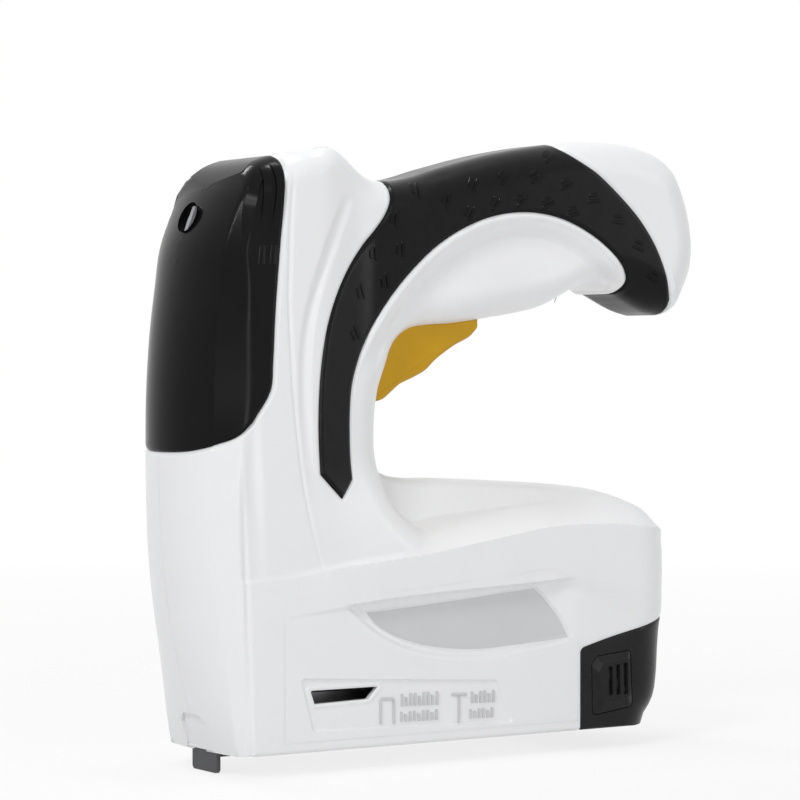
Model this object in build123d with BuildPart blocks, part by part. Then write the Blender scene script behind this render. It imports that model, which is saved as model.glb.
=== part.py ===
from build123d import *

import os
from math import atan2, cos, pi, radians, sin, sqrt

# Cordless staple gun.
# Frame: +X runs from the nose to the rear, +Z is up and Y is across, with the housing split at Y = 0.
# X = 0 is the plane of the driver blade and Z = 0 the flat underside of the base. Lengths are in millimetres.

# ---------------------------------------------------------------- driving dimensions

# Housing
wall = 3.0                      # wall of the housing shells
grip_thickness = 1.3            # overmoulded grip layer, laid into the shells
nose_half = 22.5                # half width of the nose and column
nose_foot_half = 20.0           # half width of the nose at its foot
handle_half = 17.5              # half width of the handle
handle_round = 11.0             # rounding of the handle's edges
base_half = 24.0                # half width of the base at its side band
base_foot_half = 22.5           # half width of the base at its underside
deck_half = 6.0                 # half width of the deck's raised ridge
band_low = 42.0                 # side band of the base: lower edge
band_high = 57.0                # side band of the base: upper edge
base_corner = 14.0              # plan rounding of the base's rear corners
floor_gap = 0.3                 # gap kept between pieces on different bodies
skin = 0.05                     # radial running clearance of shafts, pins and rods
spring_seat_gap = 0.05          # play at each end of a spring

# Staples and magazine
staple_crown = 11.4
staple_wire = 0.7
staple_leg = 10.0
stick_length = 50.0
drawer_wall = 0.8
drawer_floor = 1.2              # underside of the drawer above the base plane
track_wall = 1.0
magazine_front = 3.0
magazine_rear = 112.0

# Driver, hammer and lift train
blade_thick = 1.2
blade_half = 5.6
hammer_low = 60.0
hammer_high = 78.0
hammer_half = 12.0
hammer_front = -7.0
hammer_rear = 4.5
rod_radius = 1.75
rod_y = 9.0
lift_module = 1.5
lift_teeth = 24                 # teeth on a full circle of the lift sector
sector_teeth = 9
lift_x = 25.5
lift_z = 84.0
lift_half = 4.0                 # half width of the sector and of the rack
tooth_play = 0.16               # backlash taken from each tooth, along the pitch line
final_module = 1.0
final_wheel_teeth = 38
final_pinion_teeth = 12
middle_module = 0.8
middle_wheel_teeth = 30
middle_pinion_teeth = 12
first_module = 0.6
first_wheel_teeth = 40
motor_pinion_teeth = 10
motor_x = 24.0
motor_z = 131.0
motor_radius = 12.2
motor_length = 20.0
plate_thick = 1.2
stroke = 28.0                   # lift of the hammer

# Contact tip
tip_half = 7.0
tip_thick = 1.2
tip_reach = 6.0                 # how far the tip stands out below the base plane
tip_arm_half = 4.0

# Trigger
trigger_half = 8.0
trigger_pivot_x = 86.0
trigger_pivot_z = 128.5
trigger_pin_radius = 1.5

# Power supply
cell_radius = 9.0
cell_length = 65.0
cell_x = 104.0
cell_z = 148.0
cell_tilt = 7.0                 # degrees, rising to the rear
board_z = 46.0
board_thick = 1.6
board_half = 14.0
board_front = 92.0

# Fasteners
screw_radius = 1.45
screw_head_radius = 2.8
boss_radius = 3.4

PRESSURE_ANGLE = radians(20.0)


# ---------------------------------------------------------------- shared helpers

def at_y(y):
    """The XZ plane moved to the given y. Extruding from it by a positive amount runs towards -Y."""
    return Plane.XZ.offset(-y)


def outline(points, corner, inset=0.0):
    """A closed face with rounded corners, drawn inset from its corner points."""
    with BuildSketch() as drawn:
        with BuildLine():
            FilletPolyline(*points, radius=corner, close=True)
        make_face()
        if inset:
            offset(amount=-inset)
    return drawn.sketch


def slab(face, y_low, y_high):
    """A face in side view, given its thickness between two values of y."""
    with BuildPart() as made:
        with BuildSketch(at_y(y_high)):
            add(face)
        extrude(amount=y_high - y_low)
    return made.part


def block(x_low, x_high, y_low, y_high, z_low, z_high):
    """A box given by its limits."""
    with BuildPart() as made:
        with BuildSketch(Plane.XY.offset(z_low)):
            with Locations(((x_low + x_high) / 2, (y_low + y_high) / 2)):
                Rectangle(x_high - x_low, y_high - y_low)
        extrude(amount=z_high - z_low)
    return made.part


def cross_pin(x, z, radius, y_low, y_high):
    """A round bar along Y."""
    with BuildPart() as made:
        with BuildSketch(at_y(y_high)):
            with Locations((x, z)):
                Circle(radius)
        extrude(amount=y_high - y_low)
    return made.part


def upright(x, y, radius, z_low, z_high):
    """A round bar along Z."""
    with BuildPart() as made:
        with BuildSketch(Plane.XY.offset(z_low)):
            with Locations((x, y)):
                Circle(radius)
        extrude(amount=z_high - z_low)
    return made.part


def coil_spring(radius, wire, length, turns, start):
    """A compression spring of the given free length, wound from the start plane along its normal."""
    with BuildPart() as made:
        with BuildLine():
            path = Helix(pitch=(length - wire) / turns, height=length - wire, radius=radius)
        with BuildSketch(Plane(origin=path @ 0, z_dir=path % 0)):
            Circle(wire / 2)
        sweep(path=path, is_frenet=True)
    return made.part.moved(Location((0.0, 0.0, wire / 2))).moved(start.location)


def write(part, name):
    """Label a finished piece and write it as parts/NAME.step."""
    part.label = name
    export_step(part, f"parts/{name}.step")


os.makedirs("parts", exist_ok=True)

# ---------------------------------------------------------------- outer form of the housing

# Sections of the nose going up: height, front face, depth of front arch and side facet, half width.
nose_sections = [
    (0.0, -6.0, 1.6, 5.0, nose_foot_half),
    (27.0, -12.6, 3.2, 8.0, nose_half - 0.8),
    (56.0, -16.6, 4.8, 11.0, nose_half),
    (85.0, -18.4, 5.8, 12.0, nose_half),
    (112.0, -17.0, 5.8, 13.0, nose_half),
    (140.0, -12.6, 5.8, 15.0, nose_half),
    (172.0, -1.0, 5.8, 15.0, nose_half),
]
facet_y = 2.5                   # the front arch ends this far inside the half width
column_side_rear = 26.0         # the column's sides are parallel up to here
column_rear = 47.0
nose_profile = [
    (-24.0, 0.0), (column_rear, 0.0), (column_rear, 161.5), (42.0, 161.5), (33.0, 169.5), (25.0, 170.0),
    (20.0, 168.3), (9.0, 167.4), (-4.0, 162.0), (-24.0, 128.0),
]
nose_profile_round = [0.0, 0.0, 0.0, 6.0, 5.0, 5.0, 5.0, 16.0, 20.0, 0.0]

handle_profile = [
    (26.0, 46.0), (26.0, 150.0), (44.0, 160.6), (58.0, 161.0), (95.0, 173.4), (131.0, 176.6), (159.0, 173.0),
    (168.5, 148.0), (163.5, 127.0), (147.0, 120.3), (131.0, 131.0), (106.0, 125.0), (57.0, 118.0),
    (50.3, 98.0), (49.6, 75.2), (72.4, 74.8), (72.4, 46.0),
]
handle_profile_round = [
    12.0, 12.0, 16.0, 30.0, 60.0, 50.0, 14.0, 22.0, 14.0, 13.0, 12.0, 60.0, 12.0, 30.0,
    10.0, 12.0, 12.0,
]

base_rear = 150.0
base_profile = [
    (2.0, 0.0), (2.0, 38.0), (16.0, 50.0), (40.0, 76.0), (62.0, 75.2), (116.0, 72.4), (132.0, 69.4),
    (base_rear - 1.5, 59.6), (base_rear, 44.0), (base_rear - 4.0, 18.0), (base_rear - 8.0, 0.0),
]
base_profile_round = [0.0, 0.0, 0.0, 0.0, 40.0, 60.0, 20.0, 0.0, 18.0, 40.0, 0.0]


def nose_form(inset):
    """Nose and column: arched plan sections lofted upwards, trimmed by the side view."""
    with BuildPart() as made:
        for z, front, arch, facet, half in nose_sections:
            side = half - inset
            with BuildSketch(Plane.XY.offset(z)):
                with BuildLine():
                    ThreePointArc((front + arch + inset, facet_y - side), (front + inset, 0.0),
                                  (front + arch + inset, side - facet_y))
                    Polyline((front + arch + inset, side - facet_y), (front + facet + inset, side),
                             (column_side_rear, side), (column_rear, handle_half - inset),
                             (column_rear, inset - handle_half), (column_side_rear, -side),
                             (front + facet + inset, -side), (front + arch + inset, facet_y - side))
                make_face()
        loft()
        with BuildSketch(Plane.XZ):
            add(outline(nose_profile, nose_profile_round, inset))
        extrude(amount=base_half, both=True, mode=Mode.INTERSECT)
    return made.part


def handle_form(inset):
    """Handle and the back of the column: one bent bar with rounded edges."""
    with BuildPart() as made:
        with BuildSketch(Plane.XZ):
            add(outline(handle_profile, handle_profile_round, inset))
        extrude(amount=handle_half - inset, both=True)
        sides = made.faces().filter_by(Axis.Y)
        fillet(sides.edges(), radius=handle_round - inset)
    return made.part


def base_form(inset):
    """Base: side view, plan and crowned front view intersected."""
    half = base_half - inset
    foot = base_foot_half - inset
    peak = base_profile[4][1] + deck_half
    with BuildPart() as made:
        with BuildSketch(Plane.XZ):
            add(outline(base_profile, base_profile_round, inset))
        extrude(amount=base_half, both=True)
        with BuildSketch(Plane.XY):
            with Locations((base_rear / 2 - inset, 0.0)):
                plan = Rectangle(base_rear, 2 * half)
            fillet(plan.vertices().group_by(Axis.X)[-1], radius=base_corner - inset)
        extrude(amount=nose_profile[2][1], mode=Mode.INTERSECT)
        with BuildSketch(Plane.YZ):
            with BuildLine():
                Polyline((-foot, 0.0), (-foot, band_low - 4.0), (-half, band_low), (-half, band_high),
                         (-deck_half, peak - inset), (deck_half, peak - inset), (half, band_high),
                         (half, band_low), (foot, band_low - 4.0), (foot, 0.0), close=True)
            make_face()
        extrude(amount=base_rear, mode=Mode.INTERSECT)
    return made.part


outer = nose_form(0.0) + handle_form(0.0) + base_form(0.0)
under_grip = nose_form(grip_thickness) + handle_form(grip_thickness) + base_form(grip_thickness)
cavity = nose_form(wall) + handle_form(wall) + base_form(wall)

# ---------------------------------------------------------------- parting lines of the outer pieces

reach = 40.0                    # cutting tools run this far past the housing
top_of_all = 185.0
cap_line = [
    (-reach, 84.6), (-12.0, 85.6), (-5.0, 90.5), (4.8, 102.8), (5.6, 118.0), (8.2, 140.0), (9.3, 154.0),
    (9.2, top_of_all), (-reach, top_of_all),
]
grip_line = [
    (50.0, top_of_all), (48.5, 156.0), (46.0, 147.0), (35.1, 129.6), (27.6, 106.0), (23.5, 83.0),
    (23.8, 78.8), (32.4, 71.0), (35.6, 75.2), (34.8, 92.7), (41.8, 118.3), (60.6, 141.4),
    (80.0, 152.0), (106.0, 153.0), (128.0, 142.5), (132.5, 136.0), (128.8, 131.0), (127.0, 110.0), (152.0, 110.0),
    (150.8, 131.5), (138.5, 154.5), (116.0, 168.0), (96.0, 174.0), (94.0, top_of_all),
]
grip_corner = [
    0.0, 5.0, 20.0, 60.0, 80.0, 1.0, 1.0, 0.5, 1.0, 60.0, 60.0, 60.0, 40.0, 40.0, 6.0, 3.0, 1.0, 0.0, 0.0,
    10.0, 40.0, 40.0, 1.0, 0.0,
]
end_cap_front = 111.0
end_cap_line = [
    (end_cap_front, -reach), (end_cap_front, 22.4), (139.0, 30.0), (base_rear + 6.0, 33.6),
    (base_rear + 6.0, -reach),
]


def polygon(points):
    """A closed face with straight sides."""
    with BuildSketch() as drawn:
        with BuildLine():
            Polyline(*points, close=True)
        make_face()
    return drawn.sketch


cap_region = slab(polygon(cap_line), -reach, reach)
grip_region = slab(outline(grip_line, grip_corner), -reach, reach)
end_cap_region = slab(polygon(end_cap_line), -reach, reach)
with BuildSketch() as end_cap_room:
    add(polygon(end_cap_line))
    offset(amount=floor_gap, kind=Kind.INTERSECTION)
end_cap_clearance = slab(end_cap_room.sketch, -reach, reach)

# ---------------------------------------------------------------- staples and magazine

drawer_inner = staple_crown / 2 + floor_gap             # half width inside the drawer
drawer_half = drawer_inner + drawer_wall
track_inner = drawer_half + floor_gap
track_half = track_inner + track_wall
floor_top = drawer_floor + drawer_wall
leg_low = floor_top + floor_gap
crown_top = leg_low + staple_leg
rail_half = staple_crown / 2 - staple_wire - 0.2
rail_top = crown_top - staple_wire
drawer_top = crown_top + 1.4
track_roof = drawer_top + floor_gap
track_top = track_roof + track_wall
blade_front = -blade_thick / 2
blade_rear = blade_thick / 2
stick_front = blade_rear + 0.4
stick_rear = stick_front + stick_length

# Fixed track: an inverted channel that the drawer slides in.
track_rear = 106.0
with BuildPart() as magazine_track:
    add(block(magazine_front, track_rear, -track_half, track_half, drawer_floor, track_top))
    add(block(magazine_front, track_rear, -track_inner, track_inner, 0.0, track_roof), mode=Mode.SUBTRACT)

# Drawer: an upright channel with an end wall at the rear.
with BuildPart() as magazine_drawer:
    add(block(magazine_front + 1.0, magazine_rear, -drawer_half, drawer_half, drawer_floor, drawer_top))
    add(block(0.0, magazine_rear - drawer_wall, -drawer_inner, drawer_inner, floor_top, track_top),
        mode=Mode.SUBTRACT)

# Rail: a second channel on the drawer's floor. The staples straddle it.
rail_wall = 0.8
rail_front = magazine_front + 1.0
rail_rear = magazine_rear - drawer_wall
rail_inner = rail_half - rail_wall
with BuildPart() as staple_rail:
    add(block(rail_front, rail_rear, -rail_half, rail_half, floor_top, rail_top))
    add(block(rail_front, rail_rear, -rail_inner, rail_inner, floor_top + rail_wall, crown_top),
        mode=Mode.SUBTRACT)
    fillet(staple_rail.edges().filter_by(Axis.X).group_by(Axis.Z)[-1], radius=0.2)

# Stick of glued staples: one inverted channel, scored between the wires.
leg_inner = staple_crown / 2 - staple_wire
with BuildPart() as staple_stick:
    add(block(stick_front, stick_rear, -staple_crown / 2, staple_crown / 2, leg_low, crown_top))
    add(block(stick_front, stick_rear, -leg_inner, leg_inner, 0.0, rail_top), mode=Mode.SUBTRACT)
    score_pitch = 10 * staple_wire
    score_count = int(stick_length / score_pitch)
    with BuildSketch(Plane.XY.offset(crown_top - staple_wire / 4)):
        with Locations([(stick_front + score_pitch * (n + 0.5), 0.0) for n in range(score_count)]):
            Rectangle(staple_wire / 4, staple_crown)
    extrude(amount=staple_wire, mode=Mode.SUBTRACT)

# Pusher: a saddle on the rail with a tongue inside it, bored for the rod.
rod_axis_z = (floor_top + rail_wall + rail_top) / 2 + 0.1
pusher_rod_radius = 1.0
pusher_front = stick_rear + floor_gap
pusher_length = 14.0
with BuildPart() as pusher:
    add(block(pusher_front, pusher_front + pusher_length, -staple_crown / 2, staple_crown / 2,
              rail_top + floor_gap, drawer_top - floor_gap))
    add(block(pusher_front, pusher_front + pusher_length, rail_wall + floor_gap - rail_half,
              rail_half - rail_wall - floor_gap, floor_top + rail_wall + floor_gap, rail_top + floor_gap))
    with BuildSketch(Plane.YZ.offset(pusher_front)):
        with Locations((0.0, rod_axis_z)):
            Circle(pusher_rod_radius + skin)
    extrude(amount=pusher_length, mode=Mode.SUBTRACT)

# Rod for the pusher's spring, held by a foot at the front and the drawer's end wall at the rear.
rod_foot = 2.0
with BuildPart() as pusher_rod:
    with BuildSketch(Plane.YZ.offset(rail_front)):
        with Locations((0.0, rod_axis_z)):
            Circle(pusher_rod_radius)
    extrude(amount=rail_rear - rail_front)
    add(block(rail_front, rail_front + rod_foot, -rail_inner, rail_inner, floor_top + rail_wall, rod_axis_z))

# Pusher spring, on the rod between the pusher and the end wall.
pusher_spring_radius = 1.75
pusher_spring_wire = 0.5
pusher_spring_turns = 16
pusher_spring_front = pusher_front + pusher_length + spring_seat_gap
pusher_spring_length = rail_rear - spring_seat_gap - pusher_spring_front
pusher_spring_start = Plane(origin=(pusher_spring_front, 0.0, rod_axis_z), z_dir=(1, 0, 0))
pusher_spring = coil_spring(pusher_spring_radius, pusher_spring_wire, pusher_spring_length,
                            pusher_spring_turns, pusher_spring_start)

write(magazine_track.part, "magazine_track")
write(magazine_drawer.part, "magazine_drawer")
write(staple_rail.part, "staple_rail")
write(staple_stick.part, "staple_stick")
write(pusher.part, "pusher")
write(pusher_rod.part, "pusher_rod")
write(pusher_spring, "pusher_spring")

# ---------------------------------------------------------------- magazine end cap and its two latch buttons

end_wall = 2.4
button_face_half = base_foot_half
button_x = 123.0
button_z = 14.0
button_long = 12.0
button_high = 14.0
button_reach = 9.0              # the buttons run in to this distance from the middle
button_lip = 1.0                # flange that keeps each button in the cap
cap_inside_rear = base_rear - 8.0

button_room_long = button_long / 2 + floor_gap
button_room_high = button_high / 2 + floor_gap
with BuildPart() as magazine_end_cap:
    add(outer & end_cap_region)
    add(block(end_cap_front + end_wall, cap_inside_rear - end_wall, end_wall - button_face_half,
              button_face_half - end_wall, end_wall, button_z + button_room_high + button_lip),
        mode=Mode.SUBTRACT)
    add(block(button_x - button_room_long, button_x + button_room_long, -reach, reach,
              button_z - button_room_high, button_z + button_room_high), mode=Mode.SUBTRACT)
    add(block(end_cap_front, end_cap_front + end_wall, -drawer_half, drawer_half, drawer_floor, drawer_top),
        mode=Mode.SUBTRACT)


def latch_button(side):
    """Side button of the end cap: a pad flush with the cap's side, a lip inside it and a spring seat."""
    pad_outside = button_face_half - 0.4
    lip_outside = button_face_half - end_wall - floor_gap
    with BuildPart() as made:
        add(block(button_x - button_long / 2, button_x + button_long / 2, lip_outside - 1.0, pad_outside,
                  button_z - button_high / 2, button_z + button_high / 2))
        fillet(made.edges().filter_by(Axis.Y), radius=1.5)
        add(block(button_x - button_long / 2 - button_lip, button_x + button_long / 2 + button_lip,
                  lip_outside - 1.6, lip_outside, button_z - button_high / 2 - button_lip,
                  button_z + button_high / 2 + button_lip))
        add(cross_pin(button_x, button_z, 2.5, button_reach, lip_outside))
        with BuildSketch(at_y(pad_outside)):
            with GridLocations(3.0, 0.0, 3, 1):
                with Locations((button_x, button_z)):
                    Rectangle(1.2, 0.6 * button_high)
        extrude(amount=0.6, mode=Mode.SUBTRACT)
    if side < 0:
        return mirror(made.part, about=Plane.XZ)
    return made.part


magazine_button_left = latch_button(-1)
magazine_button_right = latch_button(1)
latch_spring_wire = 0.6
latch_spring_length = 2 * (button_reach - spring_seat_gap)
latch_spring = coil_spring(1.9, latch_spring_wire, latch_spring_length, 7,
                           Plane(origin=(button_x, -latch_spring_length / 2, button_z), z_dir=(0, 1, 0)))

write(magazine_end_cap.part, "magazine_end_cap")
write(magazine_button_left, "magazine_button_left")
write(magazine_button_right, "magazine_button_right")
write(latch_spring, "latch_spring")

# ---------------------------------------------------------------- driver, hammer and its spring

lift_pitch_radius = lift_module * lift_teeth / 2
rack_x = lift_x - lift_pitch_radius
tooth_pitch = pi * lift_module
rack_addendum = 0.8 * lift_module
rack_dedendum = 1.1 * lift_module
rack_bar_thick = 3.4
rack_low = lift_z - stroke - 4.0
rack_high = lift_z + 4.0
seat_low = hammer_high + stroke + 28.0                  # underside of the spring's upper seat
seat_thick = 2.0
bracket_high = hammer_low - 4.0                         # top of the bracket that holds the bumper
bracket_thick = 2.0
bracket_low = bracket_high - bracket_thick
bracket_front = -8.0
bracket_rear = 11.0
side_inner = nose_half - wall                           # half width inside the column
blade_low = 0.5
blade_top = hammer_low + 7.0
slot_play = 0.3


def rack_face():
    """Straight-sided rack with a gap at the lift gear's height, in side view. Its teeth point to the rear."""
    slope = rack_addendum * sin(PRESSURE_ANGLE) / cos(PRESSURE_ANGLE)
    half_tip = (tooth_pitch / 2 - tooth_play) / 2 - slope
    half_root = half_tip + slope * (rack_addendum + rack_dedendum) / rack_addendum
    low_tooth = int((lift_z - rack_low) / tooth_pitch)
    high_tooth = int((rack_high - lift_z) / tooth_pitch)
    points = [(rack_x - rack_bar_thick, rack_low), (rack_x - rack_dedendum, rack_low)]
    for n in range(-low_tooth, high_tooth + 1):
        z = lift_z + (n + 0.5) * tooth_pitch
        if rack_low + half_root < z < rack_high - half_root:
            points += [(rack_x - rack_dedendum, z - half_root), (rack_x + rack_addendum, z - half_tip),
                       (rack_x + rack_addendum, z + half_tip), (rack_x - rack_dedendum, z + half_root)]
    points += [(rack_x - rack_dedendum, rack_high), (rack_x - rack_bar_thick, rack_high)]
    return polygon(points)


# Hammer: a steel block on two guide rods, slotted for the blade, with the rack on its back.
with BuildPart() as hammer:
    add(block(hammer_front, hammer_rear, -hammer_half, hammer_half, hammer_low, hammer_high))
    chamfer(hammer.edges().filter_by(Axis.Z), length=1.5)
    add(slab(rack_face(), -lift_half, lift_half))
    with BuildSketch(Plane.XY.offset(hammer_low)):
        with Locations((0.0, rod_y), (0.0, -rod_y)):
            Circle(rod_radius + skin)
    extrude(amount=hammer_high - hammer_low, mode=Mode.SUBTRACT)
    add(block(blade_front, blade_rear, -blade_half, blade_half, hammer_low, blade_top), mode=Mode.SUBTRACT)

# Blade: a hardened strip with a narrow waist pinned in the hammer's slot.
with BuildPart() as driver_blade:
    add(block(blade_front, blade_rear, -blade_half, blade_half, blade_low, blade_top))
    chamfer(driver_blade.edges().filter_by(Axis.X).group_by(Axis.Z)[-1], length=1.5)

# Bracket under the hammer, with the bumper on it.
slot_front = blade_front - slot_play
slot_rear = blade_rear + slot_play
blade_slot_half = blade_half + slot_play
rack_slot_front = rack_x - rack_bar_thick - 2 * slot_play
rack_slot_half = lift_half + slot_play
with BuildPart() as bumper_bracket:
    add(block(bracket_front, bracket_rear, -side_inner, side_inner, bracket_low, bracket_high))
    with BuildSketch(Plane.XY.offset(bracket_low)):
        with Locations((0.0, rod_y), (0.0, -rod_y)):
            Circle(rod_radius)
    extrude(amount=bracket_thick, mode=Mode.SUBTRACT)
    add(block(slot_front, slot_rear, -blade_slot_half, blade_slot_half, bracket_low, bracket_high),
        mode=Mode.SUBTRACT)
    add(block(rack_slot_front, bracket_rear, -rack_slot_half, rack_slot_half, bracket_low, bracket_high),
        mode=Mode.SUBTRACT)
    add(cavity, mode=Mode.INTERSECT)

bumper_half = 6.9
bumper_depth = 3.6
with BuildPart() as bumper:
    add(block(-bumper_depth, bumper_depth, -bumper_half, bumper_half, bracket_high, hammer_low - floor_gap))
    fillet(bumper.edges().filter_by(Axis.Z), radius=1.5)
    add(block(slot_front, slot_rear, -blade_slot_half, blade_slot_half, bracket_high, hammer_low),
        mode=Mode.SUBTRACT)

# Guide rods, from the bracket to the spring seat.
with BuildPart() as guide_rods:
    with BuildSketch(Plane.XY.offset(bracket_low)):
        with Locations((0.0, rod_y), (0.0, -rod_y)):
            Circle(rod_radius)
    extrude(amount=seat_low + seat_thick - bracket_low)
    chamfer(guide_rods.edges().group_by(Axis.Z)[-1], length=0.4)

# Upper seat of the hammer's spring, with a raised ring inside the coil.
hammer_spring_radius = 4.4
hammer_spring_wire = 1.5
hammer_spring_x = -1.5
hammer_spring_turns = 13
seat_ring = 2.0
with BuildPart() as spring_seat:
    add(block(bracket_front, bracket_rear, -side_inner, side_inner, seat_low, seat_low + seat_thick))
    add(cavity, mode=Mode.INTERSECT)
    with BuildSketch(Plane.XY.offset(seat_low)):
        with Locations((0.0, rod_y), (0.0, -rod_y)):
            Circle(rod_radius)
    extrude(amount=seat_thick, mode=Mode.SUBTRACT)
    add(upright(hammer_spring_x, 0.0, hammer_spring_radius - hammer_spring_wire, seat_low - seat_ring,
                seat_low))

hammer_spring = coil_spring(hammer_spring_radius, hammer_spring_wire,
                            seat_low - hammer_high - 2 * spring_seat_gap, hammer_spring_turns,
                            Plane(origin=(hammer_spring_x, 0.0, hammer_high + spring_seat_gap)))

write(hammer.part, "hammer")
write(driver_blade.part, "driver_blade")
write(bumper_bracket.part, "bumper_bracket")
write(bumper.part, "bumper")
write(guide_rods.part, "guide_rods")
write(spring_seat.part, "spring_seat")
write(hammer_spring, "hammer_spring")

# ---------------------------------------------------------------- lift gears

PIN = 1.5                                               # radius of the small gears' pins
lift_pin_radius = 2.5
lift_hub_radius = 5.0
plate_play = 0.3
plate_low = lift_half + 1.0                             # inner face of the motor plate, across the tool
plate_high = plate_low + plate_thick
final_low = plate_high + 0.8
final_high = final_low + 3.0
middle_low = final_high + 0.6
middle_high = middle_low + 2.6
first_low = middle_high + 0.6
first_high = first_low + 2.2
outer_plate_low = first_high + 0.8
outer_plate_high = outer_plate_low + plate_thick
left_plate_high = -lift_half - 1.0
left_plate_low = left_plate_high - plate_thick


def gear_radius(module, teeth):
    """Pitch radius of a gear."""
    return module * teeth / 2


def meet(ax, az, a_reach, bx, bz, b_reach):
    """The point at a_reach from A and b_reach from B, on the side of the line AB that faces the nose."""
    gap = sqrt((bx - ax) ** 2 + (bz - az) ** 2)
    along = (a_reach ** 2 - b_reach ** 2 + gap ** 2) / (2 * gap)
    aside = sqrt(a_reach ** 2 - along ** 2)
    ux, uz = (bx - ax) / gap, (bz - az) / gap
    return ax + along * ux - aside * uz, az + along * uz + aside * ux


final_distance = gear_radius(final_module, final_wheel_teeth + final_pinion_teeth)
middle_distance = gear_radius(middle_module, middle_wheel_teeth + middle_pinion_teeth)
first_distance = gear_radius(first_module, first_wheel_teeth + motor_pinion_teeth)
second_x = lift_x + 3.0
second_z = lift_z + sqrt(final_distance ** 2 - (second_x - lift_x) ** 2)
first_x, first_z = meet(second_x, second_z, middle_distance, motor_x, motor_z, first_distance)


def mate_phase(module, teeth, phase, at, mate_teeth, mate_at):
    """Angle of one tooth of a mating gear, so that a tooth of the first meets a gap of the mate."""
    line = atan2(mate_at[1] - at[1], mate_at[0] - at[0])
    pitches = (line - phase) * teeth / (2 * pi)
    return line + pi + (pitches + 0.5) * 2 * pi / mate_teeth


def involute_point(base, start, roll, side):
    """A point of an involute: unwound by the angle roll from the base circle, turned to the angle start."""
    radius = base * sqrt(1.0 + roll ** 2)
    angle = start + side * (roll - atan2(roll, 1.0))
    return radius * cos(angle), radius * sin(angle)


def gear_face(module, teeth, phase, cut=None):
    """Involute gear face, one tooth centred at the angle phase, or its first `cut` teeth only."""
    pitch = gear_radius(module, teeth)
    base = pitch * cos(PRESSURE_ANGLE)
    tip = pitch + 0.9 * module
    root = pitch - 1.15 * module
    inv = sin(PRESSURE_ANGLE) / cos(PRESSURE_ANGLE) - PRESSURE_ANGLE
    play = tooth_play * module / lift_module + 0.02
    half_at_base = pi / (2 * teeth) - play / (2 * pitch) + inv
    tip_roll = sqrt((tip / base) ** 2 - 1.0)
    low_roll = sqrt(max((root / base) ** 2 - 1.0, 0.0))
    count = cut or teeth
    step = 2 * pi / teeth
    with BuildSketch() as drawn:
        Circle(root)
        for n in range(count):
            middle = phase + n * step
            right = [involute_point(base, middle - half_at_base, r, 1.0)
                     for r in (low_roll, (low_roll + tip_roll) / 2, tip_roll)]
            left = [involute_point(base, middle + half_at_base, r, -1.0)
                    for r in (tip_roll, (low_roll + tip_roll) / 2, low_roll)]
            heart = root * 0.8
            with BuildLine():
                Line((heart * cos(middle - half_at_base), heart * sin(middle - half_at_base)), right[0])
                ThreePointArc(*right)
                ThreePointArc(right[2], (tip * cos(middle), tip * sin(middle)), left[0])
                ThreePointArc(*left)
                Line(left[2], (heart * cos(middle + half_at_base), heart * sin(middle + half_at_base)))
                Line((heart * cos(middle + half_at_base), heart * sin(middle + half_at_base)),
                     (heart * cos(middle - half_at_base), heart * sin(middle - half_at_base)))
            make_face()
    return drawn.sketch


def wheel(face, x, z, y_low, y_high):
    """A gear face carried to its axis and given its thickness along Y."""
    with BuildPart() as made:
        with BuildSketch(at_y(y_high)):
            with Locations((x, z)):
                add(face)
        extrude(amount=y_high - y_low)
    return made.part


# The lift gear's teeth run on from the rack's height in the direction that comes round as it turns.
sector_phase = pi - 2 * pi / lift_teeth
final_phase = 0.0
second_phase = mate_phase(final_module, final_wheel_teeth, final_phase, (lift_x, lift_z), final_pinion_teeth,
                          (second_x, second_z))
middle_phase = 0.0
first_pinion_phase = mate_phase(middle_module, middle_wheel_teeth, middle_phase, (second_x, second_z),
                                middle_pinion_teeth, (first_x, first_z))
first_phase = 0.0
motor_phase = mate_phase(first_module, first_wheel_teeth, first_phase, (first_x, first_z), motor_pinion_teeth,
                         (motor_x, motor_z))

with BuildPart() as lift_gear:
    add(wheel(gear_face(lift_module, lift_teeth, sector_phase, sector_teeth), lift_x, lift_z,
              -lift_half, lift_half))
    add(cross_pin(lift_x, lift_z, lift_hub_radius, lift_half, final_low))
    add(wheel(gear_face(final_module, final_wheel_teeth, final_phase), lift_x, lift_z, final_low, final_high))
    add(cross_pin(lift_x, lift_z, lift_pin_radius + skin, -lift_half, final_high), mode=Mode.SUBTRACT)

with BuildPart() as second_gear:
    add(wheel(gear_face(final_module, final_pinion_teeth, second_phase), second_x, second_z,
              final_low, final_high))
    add(wheel(gear_face(middle_module, middle_wheel_teeth, middle_phase), second_x, second_z,
              middle_low, middle_high))
    add(cross_pin(second_x, second_z, PIN + 1.6, final_high, middle_low))
    add(cross_pin(second_x, second_z, PIN + skin, final_low, middle_high), mode=Mode.SUBTRACT)

with BuildPart() as first_gear:
    add(wheel(gear_face(middle_module, middle_pinion_teeth, first_pinion_phase), first_x, first_z,
              middle_low, middle_high))
    add(wheel(gear_face(first_module, first_wheel_teeth, first_phase), first_x, first_z,
              first_low, first_high))
    add(cross_pin(first_x, first_z, PIN + 1.2, middle_high, first_low))
    add(cross_pin(first_x, first_z, PIN + skin, middle_low, first_high), mode=Mode.SUBTRACT)

write(lift_gear.part, "lift_gear")
write(second_gear.part, "second_gear")
write(first_gear.part, "first_gear")

# ---------------------------------------------------------------- pins, plates, spacers and motor

lift_post = (12.0, 104.0)
low_post = (12.0, 63.0)
rear_post = (26.0, 60.5)
posts = [lift_post, low_post, rear_post]
post_screw_radius = 1.2
post_radius = 2.4
motor_screw_radius = 1.0
motor_screw_reach = 8.0
motor_screw_heights = (motor_z - motor_screw_reach, motor_z + motor_screw_reach)
motor_nose_radius = 3.0
motor_shaft_radius = 1.0

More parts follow.
